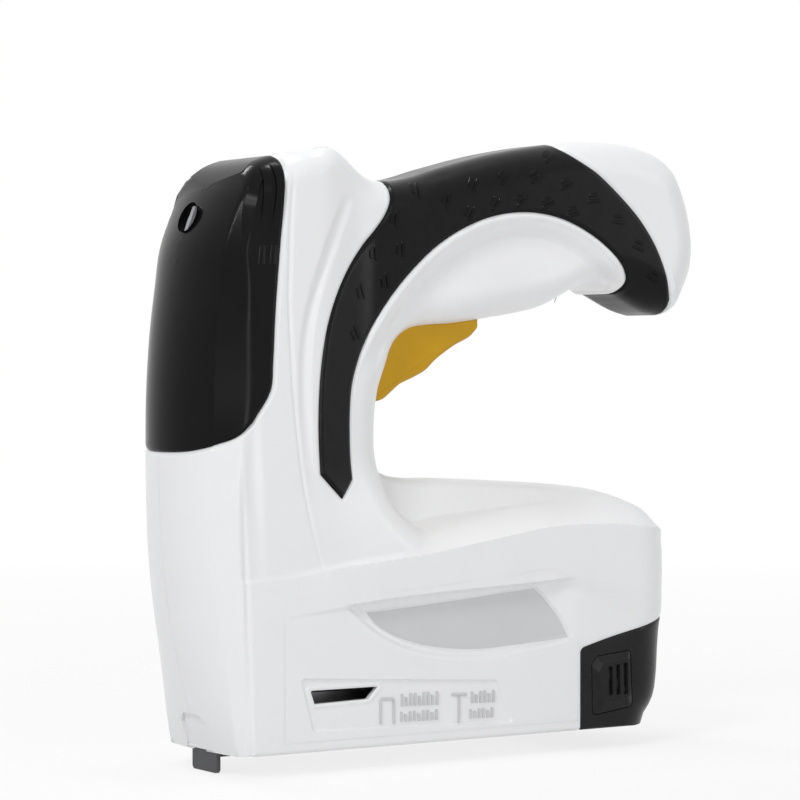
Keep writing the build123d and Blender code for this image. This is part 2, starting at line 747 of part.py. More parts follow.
gear_spots = [(lift_x, lift_z, lift_pin_radius), (second_x, second_z, PIN), (first_x, first_z, PIN)]
left_plate_line = [(8.8, 58.0), (36.0, 57.0), (43.0, 72.0), (43.0, 96.0), (30.0, 108.0), (8.8, 109.0)]
motor_plate_line = [
    (9.8, 58.0), (36.0, 57.0), (43.0, 72.0), (43.0, 112.0), (36.0, 143.0), (14.0, 143.0), (9.8, 128.0),
]
outer_plate_line = [(7.0, 58.0), (30.0, 57.0), (30.6, 66.0), (30.6, 116.0), (20.0, 126.0), (7.0, 124.0)]
plate_corner = 3.0


def plate_blank(line, y_low, y_high):
    """Steel plate across the tool, drilled for the long screws."""
    with BuildPart() as made:
        with BuildSketch(at_y(y_high)):
            add(outline(line, plate_corner))
            with Locations(*posts):
                Circle(post_screw_radius + skin, mode=Mode.SUBTRACT)
        extrude(amount=y_high - y_low)
    return made.part


with BuildPart() as left_plate:
    add(plate_blank(left_plate_line, left_plate_low, left_plate_high))
    add(cross_pin(lift_x, lift_z, lift_pin_radius, left_plate_low, left_plate_high), mode=Mode.SUBTRACT)

with BuildPart() as motor_plate:
    add(plate_blank(motor_plate_line, plate_low, plate_high))
    add(cross_pin(lift_x, lift_z, lift_hub_radius + plate_play, plate_low, plate_high), mode=Mode.SUBTRACT)
    for x, z, radius in gear_spots[1:]:
        add(cross_pin(x, z, radius, plate_low, plate_high), mode=Mode.SUBTRACT)
    add(cross_pin(motor_x, motor_z, motor_nose_radius, plate_low, plate_high), mode=Mode.SUBTRACT)
    for z in motor_screw_heights:
        add(cross_pin(motor_x, z, motor_screw_radius, plate_low, plate_high), mode=Mode.SUBTRACT)

with BuildPart() as outer_plate:
    add(plate_blank(outer_plate_line, outer_plate_low, outer_plate_high))
    for x, z, radius in gear_spots:
        add(cross_pin(x, z, radius, outer_plate_low, outer_plate_high), mode=Mode.SUBTRACT)

with BuildPart() as gear_pins:
    add(cross_pin(lift_x, lift_z, lift_pin_radius, left_plate_low, outer_plate_high))
    for x, z, radius in gear_spots[1:]:
        add(cross_pin(x, z, radius, plate_low, outer_plate_high))

with BuildPart() as plate_spacers:
    for x, z in posts:
        for low, high in ((left_plate_high, plate_low), (plate_high, outer_plate_low)):
            add(cross_pin(x, z, post_radius, low, high))
            add(cross_pin(x, z, post_screw_radius + skin, low, high), mode=Mode.SUBTRACT)

post_screw_end = left_plate_low - 8.0
with BuildPart() as mechanism_screws:
    for x, z in posts:
        add(cross_pin(x, z, post_screw_radius, post_screw_end, outer_plate_high))
        add(cross_pin(x, z, 2.2, outer_plate_high, outer_plate_high + 1.1))
        with BuildSketch(at_y(outer_plate_high + 1.1)):
            with Locations((x, z)):
                Rectangle(3.2, 0.6)
                Rectangle(0.6, 3.2)
        extrude(amount=0.6, mode=Mode.SUBTRACT)

# Motor: can with a front boss in the plate, an end bell and two terminals.
bell_length = 3.0
bell_step = 1.0                 # the bell is this much smaller in radius than the can
motor_rear = plate_low - motor_length
tail_boss = 1.2                 # length of the boss behind the bell
terminal_reach = 7.0            # distance of each terminal from the shaft
terminal_half = 1.2
terminal_length = 1.6
terminal_thick = 0.6
motor_bore_depth = 12.0
motor_screw_depth = 3.0
motor_screw_head = 1.8
motor_screw_head_high = 0.8
with BuildPart() as motor:
    add(cross_pin(motor_x, motor_z, motor_radius, motor_rear + bell_length, plate_low))
    fillet(motor.edges().filter_by(GeomType.CIRCLE), radius=1.0)
    add(cross_pin(motor_x, motor_z, motor_radius - bell_step, motor_rear, motor_rear + bell_length))
    add(cross_pin(motor_x, motor_z, motor_nose_radius, plate_low, plate_high))
    add(cross_pin(motor_x, motor_z, motor_nose_radius, motor_rear - tail_boss, motor_rear))
    add(cross_pin(motor_x, motor_z, motor_shaft_radius + skin, plate_low - motor_bore_depth, plate_high),
        mode=Mode.SUBTRACT)
    for x in (motor_x - terminal_reach, motor_x + terminal_reach):
        add(block(x - terminal_half, x + terminal_half, motor_rear - terminal_length, motor_rear,
                  motor_z - terminal_thick / 2, motor_z + terminal_thick / 2))
    for z in motor_screw_heights:
        add(cross_pin(motor_x, z, motor_screw_radius, plate_low - motor_screw_depth, plate_low),
            mode=Mode.SUBTRACT)

with BuildPart() as motor_screws:
    for z in motor_screw_heights:
        add(cross_pin(motor_x, z, motor_screw_radius, plate_low - motor_screw_depth, plate_high))
        add(cross_pin(motor_x, z, motor_screw_head, plate_high, plate_high + motor_screw_head_high))

with BuildPart() as motor_pinion:
    add(wheel(gear_face(first_module, motor_pinion_teeth, motor_phase), motor_x, motor_z,
              first_low, first_high))
    add(cross_pin(motor_x, motor_z, motor_shaft_radius, plate_low - motor_bore_depth + 0.3, first_high + 0.3))

write(left_plate.part, "left_plate")
write(motor_plate.part, "motor_plate")
write(outer_plate.part, "outer_plate")
write(gear_pins.part, "gear_pins")
write(plate_spacers.part, "plate_spacers")
write(mechanism_screws.part, "mechanism_screws")
write(motor.part, "motor")
write(motor_screws.part, "motor_screws")
write(motor_pinion.part, "motor_pinion")

# ---------------------------------------------------------------- nose guide, contact tip and its sensor

guide_half_depth = 2.2
guide_low = -1.4
guide_high = 34.0
guide_wall = 1.2
channel_half = blade_half + slot_play
channel_depth = blade_rear + slot_play
stick_room = crown_top + 0.6

# Guide: a box around the blade, open below and open to the rear where the staples come in.
with BuildPart() as nose_guide:
    add(block(-guide_half_depth, guide_half_depth, -channel_half - guide_wall, channel_half + guide_wall,
              guide_low, guide_high))
    for side in (-1, 1):
        inner, far = sorted((side * channel_half, side * (channel_half + guide_wall)))
        add(block(guide_half_depth, magazine_front, inner, far, drawer_floor, stick_room))
    add(block(-channel_depth, channel_depth, -channel_half, channel_half, guide_low, guide_high),
        mode=Mode.SUBTRACT)
    add(block(0.0, magazine_front, -channel_half, channel_half, guide_low, stick_room), mode=Mode.SUBTRACT)

# Contact tip: a flat strip in front of the guide, with a tab under its spring and a finger for the sensor.
tip_rear = -guide_half_depth - floor_gap
tip_front = tip_rear - tip_thick
tip_foot_high = 8.0
tip_arm_high = 38.0
tip_finger_high = 44.0
tip_tab_low = 24.0
tip_tab_length = 4.4
tip_spring_radius = 1.6
tip_spring_wire = 0.5
tip_shelf_low = 38.0
rib = 2.0                       # thickness of the housing's ribs
with BuildPart() as contact_tip:
    add(block(tip_front, tip_rear, -tip_half, tip_half, -tip_reach, tip_foot_high))
    chamfer(contact_tip.edges().filter_by(Axis.X).group_by(Axis.Z)[-1], length=2.0)
    chamfer(contact_tip.edges().filter_by(Axis.X).group_by(Axis.Z)[0], length=0.8)
    add(block(tip_front, tip_rear, -tip_arm_half, tip_arm_half, 0.0, tip_arm_high))
    add(block(tip_front, tip_rear, -1.5, 1.5, tip_arm_high, tip_finger_high))
    add(block(tip_front - tip_tab_length, tip_front, -3.0, 3.0, tip_tab_low, tip_tab_low + tip_thick))

tip_spring_x = tip_front - tip_tab_length / 2
tip_spring_low = tip_tab_low + tip_thick
tip_spring_length = tip_shelf_low - tip_spring_low - 2 * spring_seat_gap
tip_spring_turns = 8
tip_spring_start = Plane(origin=(tip_spring_x, 0.0, tip_spring_low + spring_seat_gap))
tip_spring = coil_spring(tip_spring_radius, tip_spring_wire, tip_spring_length, tip_spring_turns,
                         tip_spring_start)

# Sensor: a slotted block under the bumper bracket. The tip's finger rises into its slot.
sensor_low = 46.0
sensor_front = -7.0
sensor_rear = -1.2
sensor_half = 6.0
sensor_back = 2.0
sensor_slot_half = 2.3
with BuildPart() as tip_sensor:
    add(block(sensor_front, sensor_rear, -sensor_half, sensor_half, sensor_low, bracket_low))
    add(block(sensor_front, sensor_rear, -sensor_slot_half, sensor_slot_half, sensor_low,
              bracket_low - sensor_back), mode=Mode.SUBTRACT)

write(nose_guide.part, "nose_guide")
write(contact_tip.part, "contact_tip")
write(tip_spring, "tip_spring")
write(tip_sensor.part, "tip_sensor")

# ---------------------------------------------------------------- trigger, its pin, spring and switch

trigger_line = [
    (91.0, 119.0), (80.0, 111.2), (66.0, 104.4), (57.0, 99.2), (52.4, 97.2), (49.6, 101.0), (49.4, 108.0),
    (50.5, 118.6), (58.5, 118.6), (60.0, 127.0), (64.0, 127.0), (66.0, 122.0), (79.0, 126.0), (81.5, 132.6),
    (90.5, 132.6), (92.0, 127.0),
]
trigger_corner = [3.0, 20.0, 20.0, 4.0, 1.5, 2.0, 10.0, 0.0, 0.0, 0.0, 0.0, 2.0, 2.0, 2.0, 2.0, 8.0]
with BuildPart() as trigger:
    add(slab(outline(trigger_line, trigger_corner), -trigger_half, trigger_half))
    finger_side = trigger.faces().filter_by(Axis.Y).edges().filter_by(lambda e: e.center().Z < 117.0)
    fillet(finger_side, radius=1.2)
    add(cross_pin(trigger_pivot_x, trigger_pivot_z, trigger_pin_radius + skin, -trigger_half, trigger_half),
        mode=Mode.SUBTRACT)

pin_seat = 3.0
trigger_play = 0.4
trigger_pin = cross_pin(trigger_pivot_x, trigger_pivot_z, trigger_pin_radius, -trigger_half - pin_seat,
                        trigger_half + pin_seat)

trigger_spring_x = 54.3
trigger_shelf_low = 130.0
trigger_spring = coil_spring(2.6, 0.7, trigger_shelf_low - 118.6 - 2 * spring_seat_gap, 5,
                             Plane(origin=(trigger_spring_x, 0.0, 118.6 + spring_seat_gap)))

switch_low = 132.5
switch_high = 139.0
switch_front = 56.0
switch_rear = 69.0
switch_half = 3.2
plunger_x = 62.0
plunger_half = 1.0
plunger_low = 127.0 + floor_gap
plunger_high = switch_low + 1.2
plunger_travel = 3.0
with BuildPart() as trigger_switch:
    add(block(switch_front, switch_rear, -switch_half, switch_half, switch_low, switch_high))
    fillet(trigger_switch.edges().filter_by(Axis.Y), radius=0.5)
    add(block(plunger_x - plunger_half - floor_gap, plunger_x + plunger_half + floor_gap,
              -plunger_half - floor_gap, plunger_half + floor_gap, switch_low,
              plunger_high + plunger_travel + floor_gap), mode=Mode.SUBTRACT)

switch_plunger = block(plunger_x - plunger_half, plunger_x + plunger_half, -plunger_half, plunger_half,
                       plunger_low, plunger_high)

write(trigger.part, "trigger")
write(trigger_pin, "trigger_pin")
write(trigger_spring, "trigger_spring")
write(trigger_switch.part, "trigger_switch")
write(switch_plunger, "switch_plunger")

# ---------------------------------------------------------------- battery cell, board and what is on it

cell_direction = (cos(radians(cell_tilt)), 0.0, sin(radians(cell_tilt)))
cell_plane = Plane(origin=(cell_x, 0.0, cell_z), x_dir=(0.0, 1.0, 0.0), z_dir=cell_direction)
cell_end = cell_length / 2
tab_thick = 0.3

with BuildPart() as battery_cell:
    with BuildSketch(cell_plane.offset(-cell_end)):
        Circle(cell_radius)
    extrude(amount=cell_length)
    fillet(battery_cell.edges(), radius=0.8)
    with BuildSketch(cell_plane.offset(cell_end)):
        Circle(3.5)
        Circle(2.6, mode=Mode.SUBTRACT)
    extrude(amount=-0.3, mode=Mode.SUBTRACT)

with BuildPart() as battery_tabs:
    for place in (-cell_end - tab_thick, cell_end):
        with BuildSketch(cell_plane.offset(place)):
            SlotOverall(14.0, 6.0)
        extrude(amount=tab_thick)

board_top = board_z + board_thick
board_rear = 145.0
with BuildPart() as control_board:
    add(block(board_front, board_rear, -board_half, board_half, board_z, board_top))
    fillet(control_board.edges().filter_by(Axis.Z), radius=1.0)

# Parts on the board. Chips: front, rear, left and right edge, height. Capacitors: place, radius, height.
board_chips = [
    (101.0, 109.0, -9.0, -1.0, 1.4), (112.0, 118.0, -10.0, -4.0, 3.0), (112.0, 116.0, 8.0, 12.0, 1.0),
    (122.0, 125.2, 4.0, 5.6, 0.8), (122.0, 125.2, -5.6, -4.0, 0.8),
]
board_capacitors = [(104.0, 7.0, 4.0, 9.0), (120.0, 11.0, 2.5, 6.0)]
with BuildPart() as board_components:
    for front, rear, left, right, high in board_chips:
        add(block(front, rear, left, right, board_top, board_top + high))
    for x, y, radius, high in board_capacitors:
        add(upright(x, y, radius, board_top, board_top + high))

socket_half = 4.5
socket_high = 3.2
socket_rear = 148.4
socket_length = 7.4
socket_wall = 0.35
socket_back = 1.0               # closed end of the socket
tongue_half = 3.2
tongue_low = board_top + 1.3
tongue_thick = 0.6
socket_back_front = socket_rear - socket_length + socket_back
with BuildPart() as usb_socket:
    add(block(socket_rear - socket_length, socket_rear, -socket_half, socket_half,
              board_top, board_top + socket_high))
    fillet(usb_socket.edges().filter_by(Axis.X), radius=1.4)
    add(block(socket_back_front, socket_rear, -socket_half + socket_wall, socket_half - socket_wall,
              board_top + socket_wall, board_top + socket_high - socket_wall), mode=Mode.SUBTRACT)
    add(block(socket_back_front, socket_rear - socket_back, -tongue_half, tongue_half,
              tongue_low, tongue_low + tongue_thick))

power_x = 134.5
tact_half = 3.0
tact_high = 3.4
tact_stem_radius = 1.7
tact_top = board_top + tact_high + 0.8
with BuildPart() as tact_switch:
    add(block(power_x - tact_half, power_x + tact_half, -tact_half, tact_half,
              board_top, board_top + tact_high))
    add(upright(power_x, 0.0, tact_stem_radius, board_top + tact_high, tact_top))

power_half_length = 3.3
power_half_width = 6.0
power_travel = 0.7
power_lip = 1.0                 # the lip that keeps the button in, all round
power_lip_low = 58.8
power_lip_thick = 1.4
power_stem_radius = 1.5
stem_play = 0.1                 # between the pressed button and the switch
power_lip_length = power_half_length + power_lip
power_lip_half = power_half_width + power_lip
over_deck = base_profile[3][1] + 4.0
with BuildPart() as power_button:
    add(outer & block(power_x - power_half_length, power_x + power_half_length,
                      -power_half_width, power_half_width, power_lip_low, over_deck))
    add(block(power_x - power_lip_length, power_x + power_lip_length, -power_lip_half, power_lip_half,
              power_lip_low, power_lip_low + power_lip_thick))
    add(upright(power_x, 0.0, power_stem_radius, tact_top + power_travel + stem_play, power_lip_low))

write(battery_cell.part, "battery_cell")
write(battery_tabs.part, "battery_tabs")
write(control_board.part, "control_board")
write(board_components.part, "board_components")
write(usb_socket.part, "usb_socket")
write(tact_switch.part, "tact_switch")
write(power_button.part, "power_button")

# ---------------------------------------------------------------- power dial

dial_tilt = radians(22.0)
dial_out = (-cos(dial_tilt), 0.0, sin(dial_tilt))
dial_plane = Plane(origin=(-8.6, 0.0, 149.6), x_dir=(0.0, 1.0, 0.0), z_dir=dial_out)
dial_radius = 4.0
dial_hole_radius = 4.4
dial_face = -1.8                # the dial's face lies this far inside the cap's surface
dial_thick = 1.6
dial_bar_half = 0.8
dial_spindle = 1.5
regulator_front = -5.0
regulator_back = -10.5
regulator_half = 4.8

with BuildPart() as power_dial:
    with BuildSketch(dial_plane.offset(dial_face - dial_thick)):
        Circle(dial_radius)
    extrude(amount=dial_thick)
    with BuildSketch(dial_plane.offset(dial_face)):
        Rectangle(2 * dial_bar_half, 2 * dial_radius - 0.6)
    extrude(amount=1.4)
    with BuildSketch(dial_plane.offset(regulator_back + 0.6)):
        Circle(dial_spindle)
    extrude(amount=dial_face - dial_thick - regulator_back - 0.6)

with BuildPart() as power_regulator:
    with BuildSketch(dial_plane.offset(regulator_back)):
        Rectangle(2 * regulator_half, 2 * regulator_half)
    extrude(amount=regulator_front - regulator_back)
    fillet(power_regulator.edges().filter_by(Axis.Y), radius=0.6)
    with BuildSketch(dial_plane.offset(regulator_back + 0.3)):
        Circle(dial_spindle + skin)
    extrude(amount=regulator_front - regulator_back, mode=Mode.SUBTRACT)

write(power_dial.part, "power_dial")
write(power_regulator.part, "power_regulator")

# ---------------------------------------------------------------- housing shells, nose cap and grip

# Screws that hold the shells together: places in side view.
screw_spots = [
    (24.0, 157.0), (58.0, 150.5), (150.0, 141.0), (56.0, 58.0), (112.0, 62.0), (17.0, 34.0), (84.0, 28.0),
]
screw_seat = 8.0                # the heads bear on the right shell this far from the middle
screw_end = 10.0                # the screws reach this far into the left shell
head_thick = 2.2
low_rib = 20.0
tip_notch_half = 7.4
tip_notch_high = 10.6
window_line = [(17.4, 18.6), (39.6, 18.0), (37.0, 13.4), (19.6, 13.8)]
window_inner = base_foot_half - wall - 1.5
slot_half = trigger_half + trigger_play
trigger_slot_line = [
    (92.6, 100.0), (92.6, 134.0), (47.0, 134.0), (44.0, 118.0), (44.0, 94.0), (60.0, 94.0),
]
port_half = socket_half + 0.8
port_low = board_top - 0.6
port_high = board_top + socket_high + 0.8

ribs = [
    block(-1.0, 1.0, -reach, reach, seat_low + seat_thick, top_of_all),
    block(-10.0, 14.0, -reach, reach, low_rib, low_rib + rib),
    block(-16.0, tip_front - 0.9, -reach, reach, tip_shelf_low, tip_shelf_low + rib),
    block(78.0, 80.0, -reach, reach, 118.0, top_of_all),
    block(127.0, 129.0, -reach, reach, 126.0, top_of_all),
    block(66.0, 68.0, -reach, reach, 0.0, base_profile[3][1]),
    block(96.0, 98.0, -reach, reach, 0.0, base_profile[3][1]),
    block(137.0, 139.0, -reach, reach, 38.0, board_z),
    block(switch_front + 1.0, switch_rear - 1.0, -reach, reach, switch_high, switch_high + rib),
    block(50.0, 59.0, -reach, reach, trigger_shelf_low, trigger_shelf_low + rib),
]
for side in (-1, 1):
    low, high = sorted((side * 15.5, side * reach))
    ribs.append(block(bracket_front, bracket_rear, low, high, bracket_low - 3.0, bracket_low))
    low, high = sorted((side * 17.0, side * reach))
    ribs.append(block(bracket_front, bracket_rear, low, high, seat_low - 2.0, seat_low))
    low, high = sorted((side * slot_half, side * reach))
    ribs.append(cross_pin(trigger_pivot_x, trigger_pivot_z, 3.6, low, high))

# What the ribs leave room for.
rooms = [
    block(0.0, end_cap_front, -track_half, track_half, -1.0, track_top),
    block(-guide_half_depth, guide_half_depth, -channel_half - guide_wall, channel_half + guide_wall,
          -1.0, guide_high),
    block(-16.0, -guide_half_depth, -tip_half - 0.6, tip_half + 0.6, -1.0, tip_shelf_low),
    block(board_front, board_rear, -board_half, board_half, board_z, board_top),
    slab(outline(trigger_slot_line, 1.0), -slot_half, slot_half) & block(
        44.0, 92.6, -slot_half, slot_half, 90.0, trigger_shelf_low),
    cross_pin(trigger_pivot_x, trigger_pivot_z, trigger_pin_radius + 0.01, -trigger_half - pin_seat,
              trigger_half + pin_seat),
    power_regulator.part,
]
with BuildPart() as cell_room:
    with BuildSketch(cell_plane.offset(-cell_end - 1.0)):
        Circle(cell_radius + 0.05)
    extrude(amount=cell_length + 2.0)
rooms.append(cell_room.part)

with BuildPart() as framework:
    for piece in ribs:
        add(piece)
    for x, z in screw_spots:
        add(cross_pin(x, z, boss_radius, -reach, screw_seat))
        add(cross_pin(x, z, screw_head_radius + 1.8, screw_seat - 2.0, reach))
    for x, z in posts:
        add(cross_pin(x, z, boss_radius, -reach, left_plate_low))
    for piece in rooms:
        add(piece, mode=Mode.SUBTRACT)
    add(cavity, mode=Mode.INTERSECT)

with BuildPart() as openings:
    add(block(-7.0, end_cap_front, -track_half, track_half, -1.0, wall + 0.1))
    add(block(-reach, magazine_front, -tip_notch_half, tip_notch_half, -1.0, tip_notch_high))
    add(slab(outline(trigger_slot_line, 1.0), -slot_half, slot_half) & block(
        46.0, 92.6, -slot_half, slot_half, 94.0, trigger_shelf_low - 2.0))
    add(slab(polygon(window_line), window_inner, reach))
    add(slab(polygon(window_line), -reach, -window_inner))
    add(block(board_rear + 1.0, reach + base_rear, -port_half, port_half, port_low, port_high))
    add(block(power_x - power_half_length - 0.2, power_x + power_half_length + 0.2, -power_half_width - 0.2,
              power_half_width + 0.2, power_lip_low, over_deck))
    for x, z in screw_spots:
        add(cross_pin(x, z, screw_radius + skin, -screw_end - 1.0, screw_seat))
        add(cross_pin(x, z, screw_head_radius + 0.2, screw_seat, reach))
    for x, z in posts:
        add(cross_pin(x, z, post_screw_radius + skin, post_screw_end - 1.0, left_plate_low))

shell = (outer - cavity) + framework.part
grip_layer = (outer - under_grip) & grip_region
housing = shell - cap_region - grip_layer - end_cap_clearance - openings.part
left_side = block(-reach, base_rear + reach, -reach, 0.0, -reach, top_of_all)
right_side = block(-reach, base_rear + reach, 0.0, reach, -reach, top_of_all)

with BuildPart() as nose_cap:
    add((outer - cavity) & cap_region)
    with BuildSketch(dial_plane.offset(-2 * wall)):
        Circle(dial_hole_radius)
    extrude(amount=4 * wall, mode=Mode.SUBTRACT)

housing_left = housing & left_side
housing_right = housing & right_side
grip_left = grip_layer & left_side
grip_right = grip_layer & right_side

with BuildPart() as housing_screws:
    for x, z in screw_spots:
        add(cross_pin(x, z, screw_radius, -screw_end, screw_seat))
        add(cross_pin(x, z, screw_head_radius, screw_seat, screw_seat + head_thick))
        with BuildSketch(at_y(screw_seat + head_thick)):
            with Locations((x, z)):
                Rectangle(3.6, 0.8)
                Rectangle(0.8, 3.6)
        extrude(amount=1.2, mode=Mode.SUBTRACT)

write(housing_left, "housing_left")
write(housing_right, "housing_right")
write(nose_cap.part, "nose_cap")
write(grip_left, "grip_left")
write(grip_right, "grip_right")
write(housing_screws.part, "housing_screws")
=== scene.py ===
"""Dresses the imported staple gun: moulded shells, grips, cap and fittings, with their finishes, light and
camera.

The tool's outer skin is one height field. A point (x, z) of the side view gets its half width y from the
forms of the nose, column, handle and base, with rounded edges along the outline. The skin is laid out on a
grid that bends round the C of the tool, from the rear of the base, up the column and along the handle to its
hook. Each moulded piece is the part of that grid inside its own boundary. Lengths here are in millimetres
until a mesh is made.
"""

import math

import bmesh
import bpy
import numpy as np
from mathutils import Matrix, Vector


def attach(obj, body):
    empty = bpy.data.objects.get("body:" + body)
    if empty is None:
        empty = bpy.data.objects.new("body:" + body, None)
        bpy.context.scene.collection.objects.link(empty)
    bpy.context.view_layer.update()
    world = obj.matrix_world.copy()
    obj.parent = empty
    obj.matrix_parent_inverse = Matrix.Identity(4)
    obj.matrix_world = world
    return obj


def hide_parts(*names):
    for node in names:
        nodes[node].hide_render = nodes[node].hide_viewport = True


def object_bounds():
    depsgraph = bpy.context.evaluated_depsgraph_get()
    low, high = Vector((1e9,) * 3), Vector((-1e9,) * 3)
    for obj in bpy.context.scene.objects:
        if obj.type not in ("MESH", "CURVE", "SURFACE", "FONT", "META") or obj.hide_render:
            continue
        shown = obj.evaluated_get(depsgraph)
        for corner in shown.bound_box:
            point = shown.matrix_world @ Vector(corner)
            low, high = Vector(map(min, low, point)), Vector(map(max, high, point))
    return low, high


MM = 0.001

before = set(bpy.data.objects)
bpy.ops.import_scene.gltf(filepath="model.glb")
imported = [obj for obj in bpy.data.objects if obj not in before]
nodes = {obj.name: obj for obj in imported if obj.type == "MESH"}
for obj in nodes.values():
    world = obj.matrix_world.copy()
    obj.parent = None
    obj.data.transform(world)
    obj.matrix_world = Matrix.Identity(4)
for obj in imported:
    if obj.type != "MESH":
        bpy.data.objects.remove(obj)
cad_low, cad_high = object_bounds()


# ---------------------------------------------------------------- curves

def smooth_line(points, count=600):
    """Cubic curve through the points: each span is the Hermite cubic on its chord length, whose end slopes
    weigh the two neighbouring chords by each other's length."""
    p = np.asarray(points, float)
    h = np.linalg.norm(np.diff(p, axis=0), axis=1)
    run = np.concatenate([[0.0], np.cumsum(h)])
    chord = np.diff(p, axis=0) / h[:, None]
    middle = (chord[:-1] * h[1:, None] + chord[1:] * h[:-1, None]) / (h[1:] + h[:-1])[:, None]
    slope = np.vstack([chord[:1], middle, chord[-1:]])
    at = np.linspace(0.0, run[-1], count)
    k = np.clip(np.searchsorted(run, at, side="right") - 1, 0, len(h) - 1)
    w = h[k][:, None]
    t = ((at - run[k]) / h[k])[:, None]
    return (p[k] * (1 + 2 * t) * (1 - t) ** 2 + slope[k] * w * t * (1 - t) ** 2
            + p[k + 1] * t * t * (3 - 2 * t) + slope[k + 1] * w * t * t * (t - 1))


def straight_line(points, count=200):
    """Points at equal steps along the straight runs between the given points."""
    p = np.asarray(points, float)
    run = lengths_along(p)
    at = np.linspace(0.0, run[-1], count)
    return np.column_stack([np.interp(at, run, p[:, k]) for k in range(p.shape[1])])


def lengths_along(line):
    """Length run from the start of a line to each of its points."""
    return np.concatenate([[0.0], np.cumsum(np.linalg.norm(np.diff(line[:, :2], axis=0), axis=1))])


def nearest(x, z, line, closed=False):
    """For each point: distance to a line, sign (positive to the left of its run), and place along it as an
    index."""
    ends = np.vstack([line, line[:1]]) if closed else line
    best = np.full(x.shape, np.inf)
    side = np.ones(x.shape)
    place = np.zeros(x.shape)
    for k, (a, b) in enumerate(zip(ends[:-1, :2], ends[1:, :2])):
        run = b - a
        t = np.clip(((x - a[0]) * run[0] + (z - a[1]) * run[1]) / max(run @ run, 1e-12), 0.0, 1.0)
        dx, dz = x - a[0] - t * run[0], z - a[1] - t * run[1]
        d = dx * dx + dz * dz
        closer = d < best
        best = np.where(closer, d, best)
        side = np.where(closer, np.sign(run[0] * dz - run[1] * dx), side)
        place = np.where(closer, k + t, place)
    return np.sqrt(best), side, place


def inside(x, z, ring):
    """True where a point lies in a closed ring, by counting the ring's crossings of a level line to its
    right."""
    crossings = np.zeros(x.shape, int)
    for a, b in zip(ring, np.roll(ring, -1, axis=0)):
        if a[1] == b[1]:
            continue
        spans = (a[1] > z) != (b[1] > z)
        crossings += spans & (x < a[0] + (z - a[1]) * (b[0] - a[0]) / (b[1] - a[1]))
    return crossings % 2 == 1


def depth_in(x, z, ring, margin=3.0):
    """Distance to a ring's edge, positive inside it and negative outside, and -margin further out than
    margin."""
    depth = np.full(x.shape, -margin)
    low, high = ring.min(0) - margin, ring.max(0) + margin
    near = (x > low[0]) & (x < high[0]) & (z > low[1]) & (z < high[1])
    d, _, _ = nearest(x[near], z[near], ring, closed=True)
    depth[near] = np.where(inside(x[near], z[near], ring), d, np.maximum(-d, -margin))
    return depth


def ease(low, high, value):
    """0 below low, 1 above high, and the cubic 3t^2 - 2t^3 between."""
    t = np.clip((value - low) / (high - low), 0.0, 1.0)
    return t * t * (3.0 - 2.0 * t)


def blend_max(a, b, reach):
    """The larger of two, with a fillet of height reach / 4 where they are equal."""
    near = np.clip(1.0 - np.abs(a - b) / reach, 0.0, 1.0)
    return np.maximum(a, b) + near * near * reach / 4.0


def blend_min(a, b, reach):
    """The smaller of two, with a rounding where they are equal."""
    return -blend_max(-a, -b, reach)


# ---------------------------------------------------------------- side view

side_half = 22.5                # half width of the nose, the column and the foot of the base
handle_half = 17.0              # half width of the handle, to which the column narrows
band_rise = 1.45                # the base's band stands this far out
base_top = 80.0                 # the base's forms end below this height

nose_front = [                  # x, z, depth of the front arch, depth to the rear of the side facet
    (-4.0, -8.0, 1.2, 4.0), (-5.2, 0.0, 1.2, 4.0), (-7.7, 8.0, 2.4, 5.6), (-10.2, 17.0, 3.7, 7.7),
    (-12.6, 27.0, 4.7, 9.4), (-15.3, 41.0, 5.4, 10.6), (-17.1, 55.0, 5.9, 11.5), (-17.9, 68.0, 6.3, 12.0),
    (-18.2, 84.0, 6.4, 14.5), (-17.8, 101.0, 6.1, 16.6), (-16.1, 118.0, 5.3, 14.6),
    (-14.0, 131.0, 4.8, 12.4), (-11.4, 142.5, 4.0, 9.0), (-6.6, 152.6, 3.0, 7.0), (-1.8, 160.0, 2.0, 5.0),
    (3.4, 164.6, 1.2, 4.0), (9.8, 167.1, 0.9, 4.0), (15.2, 167.9, 0.8, 4.0), (22.0, 169.4, 0.8, 4.0),
    (45.0, 178.0, 0.8, 4.0),
]
arch_side = 3.5                 # the front arch ends this far inside the side

